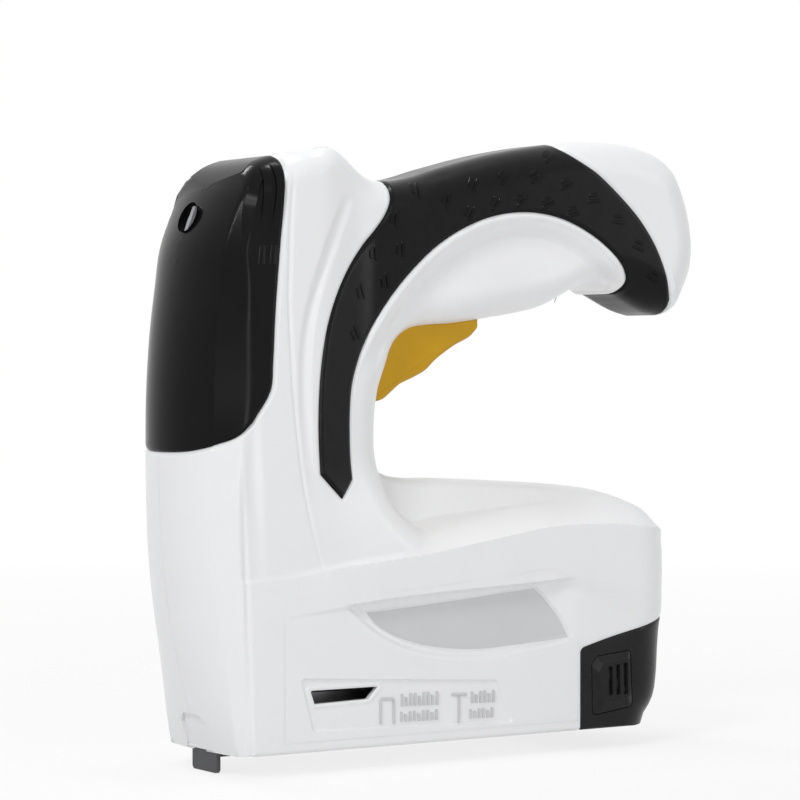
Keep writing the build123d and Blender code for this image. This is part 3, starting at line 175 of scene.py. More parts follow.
top_line = [                    # x, z, rounding of the edge, from the hook forwards
    (161.0, 131.4, 14.0), (163.2, 136.5, 14.0), (164.2, 144.1, 14.0), (163.0, 153.4, 14.0),
    (160.2, 162.0, 14.0), (156.2, 168.2, 13.0), (150.4, 172.2, 12.0), (141.4, 174.6, 11.0),
    (123.7, 175.5, 11.0), (108.7, 174.0, 11.0), (90.4, 170.8, 11.0), (72.5, 166.3, 11.0),
    (58.5, 162.4, 10.0), (48.1, 161.2, 8.0), (43.0, 161.9, 7.0), (37.9, 164.2, 5.5), (31.8, 168.3, 5.5),
    (28.0, 169.8, 5.5), (23.5, 169.5, 6.0), (20.5, 168.4, 7.0), (15.2, 167.9, 8.0), (9.8, 167.1, 9.5),
    (3.4, 164.6, 9.5), (-1.8, 160.0, 9.0),
]
gap_line = [                    # x, z, rounding: rear of the deck, column, underside of the handle, hook
    (148.8, 58.0, 2.0), (143.2, 62.3, 2.0), (137.8, 65.7, 2.0), (131.3, 68.8, 2.0), (125.0, 70.6, 2.2),
    (114.4, 72.2, 2.4), (95.9, 73.6, 2.4), (72.6, 74.9, 2.4), (60.5, 75.3, 2.2), (54.6, 76.3, 2.0),
    (50.0, 79.0, 1.8), (47.4, 83.4, 1.5), (46.7, 89.3, 1.5), (47.4, 97.8, 2.0), (50.2, 107.0, 4.5),
    (54.6, 113.6, 8.5), (60.4, 117.3, 10.7), (67.0, 118.9, 11.0), (76.0, 119.9, 11.0), (90.5, 121.9, 11.0),
    (100.0, 123.5, 11.0), (114.3, 126.6, 11.0), (124.5, 129.8, 11.0), (130.3, 130.8, 11.0),
    (134.6, 129.7, 11.0), (138.9, 127.7, 11.0), (146.4, 124.6, 11.0), (150.5, 123.6, 11.0),
]
hook_line = [(150.5, 123.6, 11.0), (154.0, 123.9, 12.0), (157.6, 126.2, 13.0), (159.5, 128.6, 14.0),
             (161.0, 131.4, 14.0)]
rear_line = [(148.8, 58.0), (149.5, 53.5), (149.7, 46.0), (149.3, 36.0), (147.4, 22.0), (146.2, 13.5),
             (144.7, 7.6), (140.6, 1.4), (139.0, 0.0)]
column_turn = 10.5              # rounding of the column's rear edges
rear_round = (8.0, 40.0), (13.5, 18.0)    # heights, and the plan rounding of the base's rear corners there
bottom_round = 1.2              # rounding of the underside's edges

front_curve = smooth_line(nose_front, 500)
top_curve = smooth_line(top_line, 700)
gap_curve = smooth_line(gap_line, 700)
hook_curve = smooth_line(hook_line, 60)
rear_curve = smooth_line(rear_line, 120)

round_edge = np.vstack([
    [(172.0, 46.0, 2.0)], gap_curve[::6], hook_curve[::6], top_curve[::6], top_curve[-1:],
    [(-10.0, 154.0, 7.0), (-30.0, 140.0, 3.0)],
])
rear_edge = np.vstack([[(149.6, 84.0), (149.2, 66.0)], rear_curve[6::6], [(134.0, -16.0)]])

# Creases of the base: where its band begins and ends, and the lines of its deck
band_top = np.array([(-20.0, 47.5), (14.8, 49.5), (26.4, 51.3), (60.3, 54.9), (81.0, 58.1), (101.8, 60.9),
                     (113.5, 61.2), (137.4, 59.6), (152.0, 57.0)])
band_foot = np.array([(-20.0, 36.5), (8.7, 38.2), (27.9, 40.3), (42.1, 41.6), (94.1, 44.3), (113.5, 45.2),
                      (124.0, 44.0), (133.3, 41.6), (152.0, 38.0)])
deck_crease = np.array([(40.0, 60.0), (60.0, 62.6), (71.1, 64.3), (86.4, 65.6), (108.2, 67.7), (122.0, 69.0),
                        (131.0, 67.4), (150.0, 57.0)])
deck_top = np.array([(40.0, 76.4), (57.5, 75.8), (72.6, 74.9), (95.9, 73.5), (114.4, 72.2), (131.3, 68.8),
                     (137.8, 65.7), (148.8, 58.0), (152.0, 55.6)])
column_rear = smooth_line([(76.0, 119.9), (67.0, 118.9), (60.4, 117.3), (54.6, 113.6), (50.2, 107.0),
                           (47.4, 97.8), (46.7, 89.3), (46.9, 83.0), (48.4, 76.0), (51.4, 68.5),
                           (57.0, 62.5), (65.5, 58.6), (80.0, 55.6), (110.0, 53.0), (220.0, 50.0)], 160)


def level(table, x):
    """Height of a crease at x, on the smooth curve through its points."""
    curve = smooth_line(table, 400)
    return np.interp(x, curve[:, 0], curve[:, 1])


def base_half(x, z):
    """Half width of the base: the foot's flat side, the band that stands out between its creases, and the
    deck that falls in from the band's upper crease in two slopes to a narrow ridge."""
    top, foot = level(band_top, x), level(band_foot, x)
    crease, ridge = level(deck_crease, x), level(deck_top, x)
    rise = band_rise * ease(2.0, 40.0, x)
    under_depth = np.interp(x, [100.0, 128.0], [0.9, 12.0])
    under = ease(0.0, 1.0, (foot - z) / under_depth) * (1.0 - ease(126.0, 138.0, x) * ease(26.0, 40.0, z))
    band = side_half + rise * (1.0 - under)
    crease_half = np.interp(x, [60.0, 110.0, 131.0, 148.0], [8.5, 12.0, 16.0, 21.5])
    ridge_half = np.interp(x, [60.0, 112.0, 131.0, 148.0], [4.5, 7.0, 12.0, 21.0])
    crease = np.minimum(crease, ridge - 0.6)
    lower = (z - top) / np.maximum(crease - top, 0.3)
    upper = (z - crease) / np.maximum(ridge - crease, 0.3)
    edge = side_half + rise
    deck = np.where(lower < 1.0, edge + (crease_half - edge) * lower,
                    crease_half + (ridge_half - crease_half) * np.clip(upper, 0.0, 1.6))
    return np.where(z < top, band, np.where(lower < 0.0, edge, deck))


def rounded_in(side, radius, distance):
    """A half width brought in by a rounded edge: by r - sqrt(r^2 - (r - d)^2) at distance d from an edge of
    radius r."""
    return side - radius + np.sqrt(np.maximum(radius ** 2 - np.maximum(radius - distance, 0.0) ** 2, 0.0))


def half_width(x, z):
    """Half width y of the whole skin at side view points: the fuller of column and base, brought in by the
    rounded edges along the outline, and no more than the nose's plan, an arc of a circle followed by a flat
    facet."""
    d_rear, sign_rear, _ = nearest(x, z, column_rear)
    taper = (side_half - handle_half) * ease(16.0, 44.0, x) * ease(52.0, 84.0, z)
    before = np.where(sign_rear < 0.0, d_rear, 0.0)
    past = np.where(sign_rear < 0.0, 0.0, d_rear) * ease(96.0, 84.0, z)
    bring_in = -rounded_in(0.0, column_turn, before) * ease(119.0, 101.0, z)
    column = side_half - taper - bring_in - 3.0 * past
    column = np.where((x > 47.5) & (z > 84.0), handle_half - bring_in, column)
    base = np.where(z < base_top, base_half(x, z), -10.0)
    reach = (1.6 + 3.4 * ease(0.5, 5.0, side_half - column)) * ease(84.0, 76.0, z) + 0.01
    side = np.maximum(blend_max(column, base, reach), 0.5)

    d_round, _, at = nearest(x, z, round_edge)
    radius = np.interp(at, np.arange(len(round_edge)), round_edge[:, 2])
    d_back, _, _ = nearest(x, z, rear_edge)
    turn = np.interp(z, *rear_round)
    half = np.minimum.reduce([rounded_in(side, radius, d_round),
                              rounded_in(side, turn, np.where(z < base_top, d_back, turn)),
                              rounded_in(side, bottom_round, np.abs(z))])

    d_front, _, at = nearest(x, z, front_curve[::5])
    at = at * 5                 # the curve was thinned to every fifth point
    d_front = d_front + 6.0 * ease(-3.0, 9.0, x) * ease(140.0, 150.0, z)
    arch = np.interp(at, np.arange(len(front_curve)), front_curve[:, 2])
    facet = np.interp(at, np.arange(len(front_curve)), front_curve[:, 3])
    arch_half = side_half - arch_side
    circle = (arch_half ** 2 + arch ** 2) / (2 * arch)
    rounded = np.sqrt(np.maximum(2 * circle * d_front - d_front ** 2, 0.0))
    nose = np.where(d_front < arch, rounded, arch_half + arch_side * (d_front - arch) / (facet - arch))
    return blend_min(half, nose, 0.6)


# ---------------------------------------------------------------- the skin's grid

stations = [                    # pairs on the gap line and on the outer line that the grid's columns join
    ((148.8, 58.0), (139.0, 0.0)), ((131.3, 68.8), (125.0, 0.0)), ((95.9, 73.6), (92.0, 0.0)),
    ((60.5, 75.3), (56.0, 0.0)), ((54.6, 76.3), (30.0, 0.0)), ((50.0, 79.0), (-5.2, 0.0)),
    ((47.4, 83.4), (-15.3, 41.0)), ((46.7, 89.3), (-18.2, 84.0)), ((47.4, 97.8), (-17.8, 101.0)),
    ((50.2, 107.0), (-14.0, 131.0)), ((54.6, 113.6), (-6.6, 152.6)), ((60.4, 117.3), (3.4, 164.6)),
    ((67.0, 118.9), (23.5, 169.5)), ((76.0, 119.9), (43.0, 161.9)), ((90.5, 121.9), (72.5, 166.3)),
    ((114.3, 126.6), (108.7, 174.0)), ((130.3, 130.8), (141.4, 174.6)), ((138.9, 127.7), (156.2, 168.2)),
    ((146.4, 124.6), (163.0, 153.4)), ((150.5, 123.6), (161.0, 131.4)),
]
grid_step = 0.52
rows_inner = 6                  # rows that close the skin from its edge to the middle plane, at the gap line
rows_outer = 10                 # and at the outer line
rows_main = 168
rows_end = 10                   # and the columns that close it at the rear and at the hook
seam = 0.04                     # half the gap between the two housing halves
wall = 1.6                      # depth of the mouldings' edges

nose_run = front_curve[(front_curve[:, 1] > 0.2) & (front_curve[:, 0] < 3.2), :2]
outer_curve = np.vstack([       # along the underside, up the nose and back over the top
    straight_line([(139.0, 0.0), (-5.2, 0.0)], 600),
    [(-5.2, 0.0)], nose_run, [(3.4, 164.6)],
    top_curve[top_curve[:, 0] > 3.6, :2][::-1],
])


def place_on(line, point):
    """Length along a line of its point nearest to a given one."""
    k = np.argmin(np.hypot(line[:, 0] - point[0], line[:, 1] - point[1]))
    return lengths_along(line)[k]


def sample(line, at):
    """Points of a line at the given lengths along it."""
    run = lengths_along(line)
    return np.column_stack([np.interp(at, run, line[:, k]) for k in (0, 1)])


def skin_grid():
    """Side view of the grid, by transfinite interpolation: each column runs straight from the gap line to
    the outer line, and the bulges of the rear and hook ends are added, fading along the first and last
    columns."""
    gap_at, outer_at = [], []
    for (g0, o0), (g1, o1) in zip(stations[:-1], stations[1:]):
        g = place_on(gap_curve, g0), place_on(gap_curve, g1)
        o = place_on(outer_curve, o0), place_on(outer_curve, o1)
        count = int(np.ceil(max(g[1] - g[0], o[1] - o[0]) / grid_step))
        t = np.arange(count) / count
        gap_at.append(g[0] + (g[1] - g[0]) * t)
        outer_at.append(o[0] + (o[1] - o[0]) * t)
    gap_at.append([g[1]])
    outer_at.append([o[1]])
    low, high = sample(gap_curve, np.concatenate(gap_at)), sample(outer_curve, np.concatenate(outer_at))

    t = np.linspace(0.0, 1.0, rows_main)
    close = 0.16                # the rows close up within this share of the way from either line
    v = np.where(t < close, t * t / (2 * close), t - close / 2)
    v = np.where(t > 1 - close, 1 - close - (1 - t) ** 2 / (2 * close), v) / (1 - close)
    flat = (1 - v)[None, :, None] * low[:, None] + v[None, :, None] * high[:, None]
    column = np.arange(len(low), dtype=float)[:, None, None]
    ends = ((rear_curve, flat[0], 1.0 - column / 150.0),
            (hook_curve[:, :2], flat[-1], 1.0 - (len(low) - 1 - column) / 60.0))
    for line, chord, fade in ends:
        run = lengths_along(line)
        bulge = sample(line, v * run[-1]) - chord
        flat = flat + np.clip(fade, 0.0, 1.0) ** 2 * bulge[None]
    return flat


def draw_to_lines(points, lines):
    """Moves the grid's points that lie within half a step of a line onto it, so that creases and edges stay
    crisp."""
    moved = points.copy()
    step = 0.48 * np.minimum(*[np.linalg.norm(np.gradient(points, axis=k), axis=-1) for k in (0, 1)])
    step[:, :2], step[:, -2:], step[:1], step[-1:] = 0.0, 0.0, 0.0, 0.0
    for line, closed in lines:
        ends = np.vstack([line, line[:1]]) if closed else line
        low, high = ends.min(0) - 0.6, ends.max(0) + 0.6
        near = np.all((points > low) & (points < high), axis=-1) & (step > 0.0)
        x, z = points[near].T
        d, _, at = nearest(x, z, line, closed)
        k = np.minimum(at.astype(int), len(ends) - 2)
        t = (at - k)[:, None]
        taken = d < step[near]
        moved[near] = np.where(taken[:, None], ends[k] * (1 - t) + ends[k + 1] * t, points[near])
        step[near] = np.where(taken, 0.0, step[near])
    return moved


# ---------------------------------------------------------------- boundaries and details of the mouldings

cap_edge = smooth_line([(-44.0, 84.0), (-24.0, 84.1), (-16.1, 84.5), (-11.6, 86.2), (-5.3, 88.6),
                        (-0.5, 92.8)], 60)
cap_edge = np.vstack([cap_edge, smooth_line([(-0.5, 92.8), (5.3, 102.2), (5.8, 108.6), (6.5, 121.8),
                                             (8.2, 142.2), (9.4, 154.0), (9.9, 162.0), (10.2, 176.0)],
                                            70)[1:]])
cap_ring = np.vstack([cap_edge, [(-44.0, 176.0)]])
grip_front = smooth_line([(50.9, 172.0), (49.9, 163.6), (49.0, 160.9), (48.6, 158.2), (47.9, 155.2),
                          (46.2, 151.4), (43.0, 147.2), (38.3, 142.4), (33.2, 136.4), (28.3, 128.7),
                          (24.8, 120.7), (22.4, 111.0), (21.2, 101.0), (20.9, 89.2), (21.5, 77.6)], 70)
grip_tip = np.array([(21.5, 77.6), (29.3, 70.6), (33.8, 76.1)])
grip_inner = smooth_line([(33.8, 76.1), (33.3, 84.1), (33.2, 93.9), (34.0, 102.4), (36.6, 110.0),
                          (40.6, 117.6), (45.0, 124.0), (49.8, 129.9), (55.9, 136.1), (63.2, 142.2),
                          (72.3, 147.6), (81.5, 151.2), (90.5, 153.0), (99.0, 153.2), (108.0, 151.8),
                          (116.3, 148.8), (124.1, 144.4), (129.2, 140.3), (132.6, 136.6), (134.4, 133.0),
                          (133.6, 130.2), (130.6, 127.6), (127.0, 120.0)], 150)
grip_rear = smooth_line([(155.0, 114.0), (153.2, 122.0), (151.0, 127.0), (149.2, 130.9), (147.5, 136.1),
                         (143.8, 143.9), (138.0, 151.7), (130.6, 158.6), (121.7, 165.5), (114.4, 170.4),
                         (110.6, 173.6), (107.5, 180.0)], 60)
grip_ring = np.vstack([grip_front, grip_tip[1:], grip_inner[1:], grip_rear])
scoop_ring = np.vstack([grip_inner, [(127.0, 100.0), (60.0, 60.0), (33.8, 60.0)]])
end_cap_edge = np.vstack([[(111.0, -6.0), (111.0, 23.3), (111.3, 24.0)],
                          smooth_line([(112.0, 24.6), (120.5, 26.8), (130.2, 28.9), (139.2, 30.7),
                                       (157.0, 34.4)], 30)])
end_cap_ring = np.vstack([end_cap_edge, [(157.0, -6.0)]])
window_ring = np.array([(17.7, 17.3), (19.1, 13.4), (36.8, 13.8), (40.2, 17.2)])
panel_ring = np.array([(14.3, 20.2), (14.9, 21.0), (80.2, 16.9), (81.2, 16.2), (86.4, 4.8), (85.8, 3.9),
                       (19.0, 5.9), (18.0, 6.4)])
crescent_arc = smooth_line([(26.0, 41.4), (28.1, 40.2), (32.7, 36.4), (37.8, 32.5), (45.1, 28.4),
                            (53.9, 25.4), (64.4, 23.4), (74.0, 22.8), (83.5, 23.4), (95.1, 24.9),
                            (109.5, 26.9)], 70)
plate_ring = np.vstack([
    smooth_line([(36.2, 38.8), (39.6, 34.7), (45.6, 30.9), (54.2, 27.9), (64.4, 26.0), (76.5, 25.2),
                 (88.8, 25.7), (101.4, 26.5), (108.3, 27.2)], 60),
    smooth_line([(108.3, 27.2), (104.5, 34.3), (100.6, 38.9), (95.8, 43.4)], 16)[1:],
    smooth_line([(95.8, 43.4), (82.7, 42.3), (70.4, 41.2), (58.4, 40.3), (46.6, 39.4), (36.2, 38.8)],
                30)[1:-1],
])

grooves = [                     # half width, then x, z and depth along the groove
    (1.2, [(-1.2, -4.0, 0.6), (-1.5, 1.5, 0.6), (-2.5, 29.7, 0.6), (-3.3, 53.7, 0.5), (-3.9, 71.6, 0.3),
           (-4.4, 85.0, 0.05)]),
    (3.4, [(0.8, 40.0, 0.0), (0.2, 56.0, 0.3), (-0.4, 70.0, 0.6), (-1.0, 84.0, 0.7), (-1.4, 92.0, 0.5)]),
    (0.9, [(12.8, 164.0, 0.0), (12.1, 158.0, 0.35), (11.4, 149.5, 0.45), (11.0, 137.5, 0.45),
           (10.8, 125.5, 0.45), (11.4, 113.4, 0.45), (12.4, 99.0, 0.45), (13.8, 86.9, 0.45),
           (15.6, 74.8, 0.45), (18.4, 62.6, 0.4), (22.2, 49.0, 0.2)]),
    (2.6, [(31.5, 154.0, 0.2), (27.4, 146.3, 0.8), (23.5, 137.7, 1.0), (19.9, 129.2, 1.1),
           (17.7, 121.9, 1.1), (16.3, 113.4, 1.0), (15.9, 101.3, 0.9), (16.6, 89.2, 0.7), (18.0, 78.3, 0.5),
           (19.8, 71.0, 0.3), (22.7, 63.0, 0.0)]),
]
cap_ribs = [                    # the cap's three ribs, from its top edge down its sides
    [(2.4, 160.4), (0.9, 157.6), (-0.8, 153.6), (-2.2, 147.0), (-2.8, 138.0)],
    [(4.9, 162.8), (4.6, 160.0), (3.8, 155.6), (2.8, 148.0), (1.8, 136.0)],
    [(7.8, 164.0), (7.9, 160.0), (7.6, 155.6), (6.6, 148.0), (5.4, 136.0)],
]


def troughs(x, z, table):
    """Depth of rounded grooves: at distance d from a groove's line, depth times (1 - (d / half
    width)^2)^2."""
    total = np.zeros(x.shape)
    for width, points in table:
        line = smooth_line(points, 90)
        d, _, at = nearest(x, z, line)
        depth = np.interp(at, np.arange(len(line)), line[:, 2])
        total += depth * np.clip(1.0 - (d / width) ** 2, 0.0, 1.0) ** 2
    return total


pad_foot = np.array([(114.9, 19.5), (117.0, 21.8), (128.9, 23.0), (129.6, 22.0), (130.3, 7.0), (129.5, 5.8),
                     (116.2, 4.1), (115.2, 5.0)])
pad_top = np.array([(117.2, 17.0), (118.9, 19.7), (127.6, 20.8), (128.1, 20.0), (128.5, 9.6), (127.8, 9.0),
                    (119.0, 8.0), (118.0, 8.8)])
pad_slots = [np.array([(x, 18.4 + lift), (x + 1.5, 18.6 + lift), (x + 1.7, 10.0), (x + 0.2, 9.8)])
             for x, lift in ((120.4, 0.0), (123.2, 0.4), (126.0, 0.8))]
base_side_ring = np.array([(9.0, 3.0), (110.0, 3.0), (110.0, 44.0), (100.0, 48.5), (60.0, 45.0),
                           (9.0, 42.0)])
edges_that_fall = ((cap_edge, 1.1, 0.75), (grip_ring, 0.9, 0.5), (end_cap_edge, 0.5, 0.3))
creases = [(cap_edge, False), (grip_ring, True), (end_cap_edge, False), (window_ring, True),
           (pad_foot, True), (pad_top, True), (panel_ring, True), (plate_ring, True), (crescent_arc, False)]
base_run = np.linspace(4.0, 146.0, 90)
creases += [(np.column_stack([base_run, level(table, base_run)]), False) for table in (band_top, band_foot)]
creases.append((np.column_stack([base_run[32:], level(deck_crease, base_run[32:])]), False))
rising = front_curve[(front_curve[:, 1] > 1.0) & (front_curve[:, 1] < 148.0)][::4]
run = np.gradient(rising[:, :2], axis=0)
to_rear = np.column_stack([run[:, 1], -run[:, 0]]) / np.linalg.norm(run, axis=1, keepdims=True)
creases.append((rising[:, :2] + to_rear * rising[:, [2]], False))
outline_ring = np.vstack([outer_curve, hook_curve[::-1, :2], gap_curve[::-1, :2], rear_curve])


def shell_relief(x, z):
    """How far the white shells stand out from the plain skin: styling grooves, the base's recesses, the
    scoop below the handle's grip, and edges that fall away beside the cap, the grips and the end cap."""
    relief = -troughs(x, z, grooves)
    relief -= 0.7 * np.clip(depth_in(x, z, panel_ring) / 0.4, 0.0, 1.0)
    relief += 0.35 * np.clip(1.0 - np.abs(depth_in(x, z, window_ring) + 0.7) / 0.7, 0.0, 1.0)
    arc, sign, _ = nearest(x, z, crescent_arc)
    under = level(band_foot, x) - z
    in_crescent = (sign > 0.0) & (under > -0.5) & (x < 112.0)
    bowl = np.where(in_crescent, ease(0.0, 2.2, arc) * ease(-0.5, 0.5, under), 0.0) * ease(112.0, 100.0, x)
    relief -= 1.5 * bowl
    relief -= 0.9 * np.clip(depth_in(x, z, plate_ring) / 0.6, 0.0, 1.0)
    scoop, _, _ = nearest(x, z, grip_inner)
    in_scoop = inside(x, z, scoop_ring)
    bead = 1.0 - ((scoop - 1.3) / 1.3) ** 2
    dish = 3.0 * ease(2.2, 7.5, scoop) * (1.0 - 0.8 * ease(9.0, 24.0, scoop))
    relief += np.where(in_scoop, (0.7 * np.clip(bead, 0.0, 1.0) - dish) * ease(104.0, 122.0, z), 0.0)
    for line, width, depth in edges_that_fall:
        d, _, _ = nearest(x, z, line)
        relief -= depth * (1.0 - ease(0.0, width, d))
    return relief


def plate_relief(x, z):
    """The crescent's plate, laid just above the floor of its recess."""
    return shell_relief(x, z) + 0.08


def cap_relief(x, z):
    """The nose cap's rounded rim."""
    d, _, _ = nearest(x, z, cap_edge)
    return -0.45 * (1.0 - ease(0.0, 0.8, d))


def grip_relief(x, z):
    """The grips' rounded rim."""
    d, _, _ = nearest(x, z, grip_ring, closed=True)
    return 0.15 - 0.5 * (1.0 - ease(0.0, 0.9, d))


def end_cap_relief(x, z):
    """The end cap's rounded rim."""
    d, _, _ = nearest(x, z, end_cap_edge)
    return -0.35 * (1.0 - ease(0.0, 0.6, d))


def pad_relief(x, z):
    """The latch pads: a bevel that rises from the foot to the top ring, and three slots sunk in the top."""
    foot, top = depth_in(x, z, pad_foot, 12.0), -depth_in(x, z, pad_top, 12.0)
    rise = np.clip(foot, 0.0, None) / np.maximum(np.clip(foot, 0.0, None) + np.clip(top, 0.0, None), 1e-6)
    slots = sum(np.clip(depth_in(x, z, ring) / 0.35, 0.0, 1.0) for ring in pad_slots)
    return 1.25 * rise - 0.15 - 1.0 * slots


# ---------------------------------------------------------------- meshes

def in_plane(line, inner):
    """Outward unit directions of an outline in the side view: its run turned by a right angle, away from
    inner."""
    run = np.gradient(line, axis=0)
    turned = np.column_stack([-run[:, 1], run[:, 0]])
    turned *= np.sign(np.sum(turned * (line - inner)))    # one sign for all, so that no point flips
    turned /= np.maximum(np.linalg.norm(turned, axis=1, keepdims=True), 1e-9)
    return np.column_stack([turned[:, 0], np.zeros(len(line)), turned[:, 1]])


def lay_out_skin():
    """The whole left or right skin as a grid of points, with the rows that close it to the middle plane, and
    the outward normals, from the cross product of the grid's two directions, or in the side view on the
    closing rows."""
    side_view = draw_to_lines(skin_grid(), creases)
    half = half_width(side_view[..., 0], side_view[..., 1])

    def closing(edge_half, rows):
        """Half widths of the rows from the edge in to the middle plane."""
        t = np.linspace(0.0, 1.0, rows, endpoint=False)[None, :]
        return seam + (np.maximum(edge_half, seam)[:, None] - seam) * t

    low, high = closing(half[:, 0], rows_inner), closing(half[:, -1], rows_outer)[:, ::-1]
    x = np.hstack([np.repeat(side_view[:, :1, 0], rows_inner, 1), side_view[..., 0],
                   np.repeat(side_view[:, -1:, 0], rows_outer, 1)])
    z = np.hstack([np.repeat(side_view[:, :1, 1], rows_inner, 1), side_view[..., 1],
                   np.repeat(side_view[:, -1:, 1], rows_outer, 1)])
    y = np.hstack([low, np.maximum(half, seam), high])
    ends = np.linspace(0.0, 1.0, rows_end, endpoint=False)[:, None]
    x = np.vstack([np.repeat(x[:1], rows_end, 0), x, np.repeat(x[-1:], rows_end, 0)])
    z = np.vstack([np.repeat(z[:1], rows_end, 0), z, np.repeat(z[-1:], rows_end, 0)])
    y = np.vstack([seam + (y[:1] - seam) * ends, y, (seam + (y[-1:] - seam) * ends)[::-1]])
    skin = np.stack([x, y, z], -1)
    normal = np.cross(np.gradient(skin, axis=1), np.gradient(skin, axis=0))
    normal /= np.maximum(np.linalg.norm(normal, axis=-1, keepdims=True), 1e-9)
    normal[..., 1] = np.abs(normal[..., 1])
    for rows, edge, inner in ((slice(0, rows_inner), rows_inner, rows_inner + 2),
                              (slice(-rows_outer, None), -rows_outer - 1, -rows_outer - 3)):
        flat = in_plane(skin[:, edge][:, [0, 2]], skin[:, inner][:, [0, 2]])
        normal[:, rows] = flat[:, None]
        normal[:, edge] += flat
        near = slice(edge, edge + 12) if edge > 0 else slice(edge - 11, edge + 1)
        against = np.minimum(np.sum(normal[:, near] * flat[:, None], axis=-1, keepdims=True), 0.0)
        normal[:, near] -= 1.2 * against * flat[:, None]
    normal /= np.maximum(np.linalg.norm(normal, axis=-1, keepdims=True), 1e-9)
    return skin, normal


def new_mesh(name, points, faces, material, body, replaced):
    """A smooth mesh object from points in millimetres and arrays of corner numbers, riding on a CAD body.
    Coincident points are joined, and edges sharper than 40 degrees stay sharp."""
    mesh = bpy.data.meshes.new(name)
    mesh.vertices.add(len(points))
    mesh.vertices.foreach_set("co", (np.asarray(points, np.float32) * MM).ravel())
    corners = np.concatenate([rows.ravel() for rows in faces]).astype(np.int32)
    sizes = np.concatenate([np.full(len(rows), rows.shape[1], np.int32) for rows in faces])
    mesh.loops.add(len(corners))
    mesh.loops.foreach_set("vertex_index", corners)
    mesh.polygons.add(len(sizes))
    mesh.polygons.foreach_set("loop_start", np.concatenate([[0], np.cumsum(sizes)[:-1]]).astype(np.int32))
    mesh.polygons.foreach_set("use_smooth", np.full(len(sizes), True))
    mesh.update(calc_edges=True)
    work = bmesh.new()
    work.from_mesh(mesh)
    bmesh.ops.remove_doubles(work, verts=work.verts, dist=4e-6)
    bmesh.ops.dissolve_degenerate(work, edges=work.edges, dist=2e-6)
    work.to_mesh(mesh)
    work.free()
    mesh.validate()
    mesh.set_sharp_from_angle(angle=math.radians(40.0))
    piece = bpy.data.objects.new(name, mesh)
    bpy.context.scene.collection.objects.link(piece)
    mesh.materials.append(material)
    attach(piece, body)
    if replaced:
        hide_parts(*replaced)
    return piece


def corner_numbers(shape):
    """Corner numbers of a grid's quads, wound so that they face the way the grid's normals point."""
    number = np.arange(shape[0] * shape[1]).reshape(shape)
    return np.stack([number[:-1, :-1], number[:-1, 1:], number[1:, 1:], number[1:, :-1]], -1).reshape(-1, 4)


def clip_grid(field):
    """The faces of the grid where field is positive. Quads wholly inside stay. Those that the boundary
    crosses are halved and clipped where field, taken as straight along each edge, is zero: one corner inside
    leaves a triangle, two leave a quad. Also gives the pair of grid points, inside and outside, that each
    new corner lies between."""
    f = np.where(np.abs(field) < 0.02, 0.0, field).ravel()
    quads = corner_numbers(field.shape)
    inner = (f[quads] >= 0.0).sum(1)
    mixed = quads[(inner > 0) & (inner < 4)]
    halves = np.vstack([mixed[:, [0, 1, 2]], mixed[:, [0, 2, 3]]])
    kept = f[halves] >= 0.0
    count = kept.sum(1)

    def turned(rows, first):
        """Triangles with their corners turned round so that the given one comes first."""
        return np.take_along_axis(rows, (first[:, None] + np.arange(3)) % 3, axis=1)

    one = turned(halves[count == 1], np.argmax(kept[count == 1], axis=1))
    two = turned(halves[count == 2], np.argmin(kept[count == 2], axis=1))
    pairs = np.vstack([one[:, [0, 1]], one[:, [0, 2]], two[:, [1, 0]], two[:, [2, 0]]])
    pairs, place = np.unique(pairs, axis=0, return_inverse=True)
    cut = np.split(f.size + place.reshape(-1), np.cumsum([len(one), len(one), len(two)]))
    threes = np.vstack([halves[count == 3], np.column_stack([one[:, 0], cut[0], cut[1]])])
    fours = np.vstack([quads[inner == 4], np.column_stack([cut[2], two[:, 1], two[:, 2], cut[3]])])
    share = (f[pairs[:, 0]] / (f[pairs[:, 0]] - f[pairs[:, 1]]))[:, None]
    return [threes, fours], pairs, share


def wall_in(faces, points, normals, depth, shut):
    """Walls turned in along the open edges of a surface, against its normals. Edges on a shut middle stay
    bare."""
    runs = np.vstack([rows[:, [k, (k + 1) % rows.shape[1]]] for rows in faces for k in range(rows.shape[1])])
    size = len(points)
    open_ = ~np.isin(runs[:, 0] * size + runs[:, 1], runs[:, 1] * size + runs[:, 0])
    runs = runs[open_ & (runs[:, 0] != runs[:, 1])]
    if shut:
        runs = runs[~np.all(np.abs(points[runs][..., 1]) < 1e-5, axis=1)]
    used, place = np.unique(runs, return_inverse=True)
    place = place.reshape(runs.shape) + size
    below = points[used] - normals[used] * depth
    walls = np.column_stack([runs[:, 1], runs[:, 0], place[:, 0], place[:, 1]])
    return np.vstack([points, below]), faces + [walls]


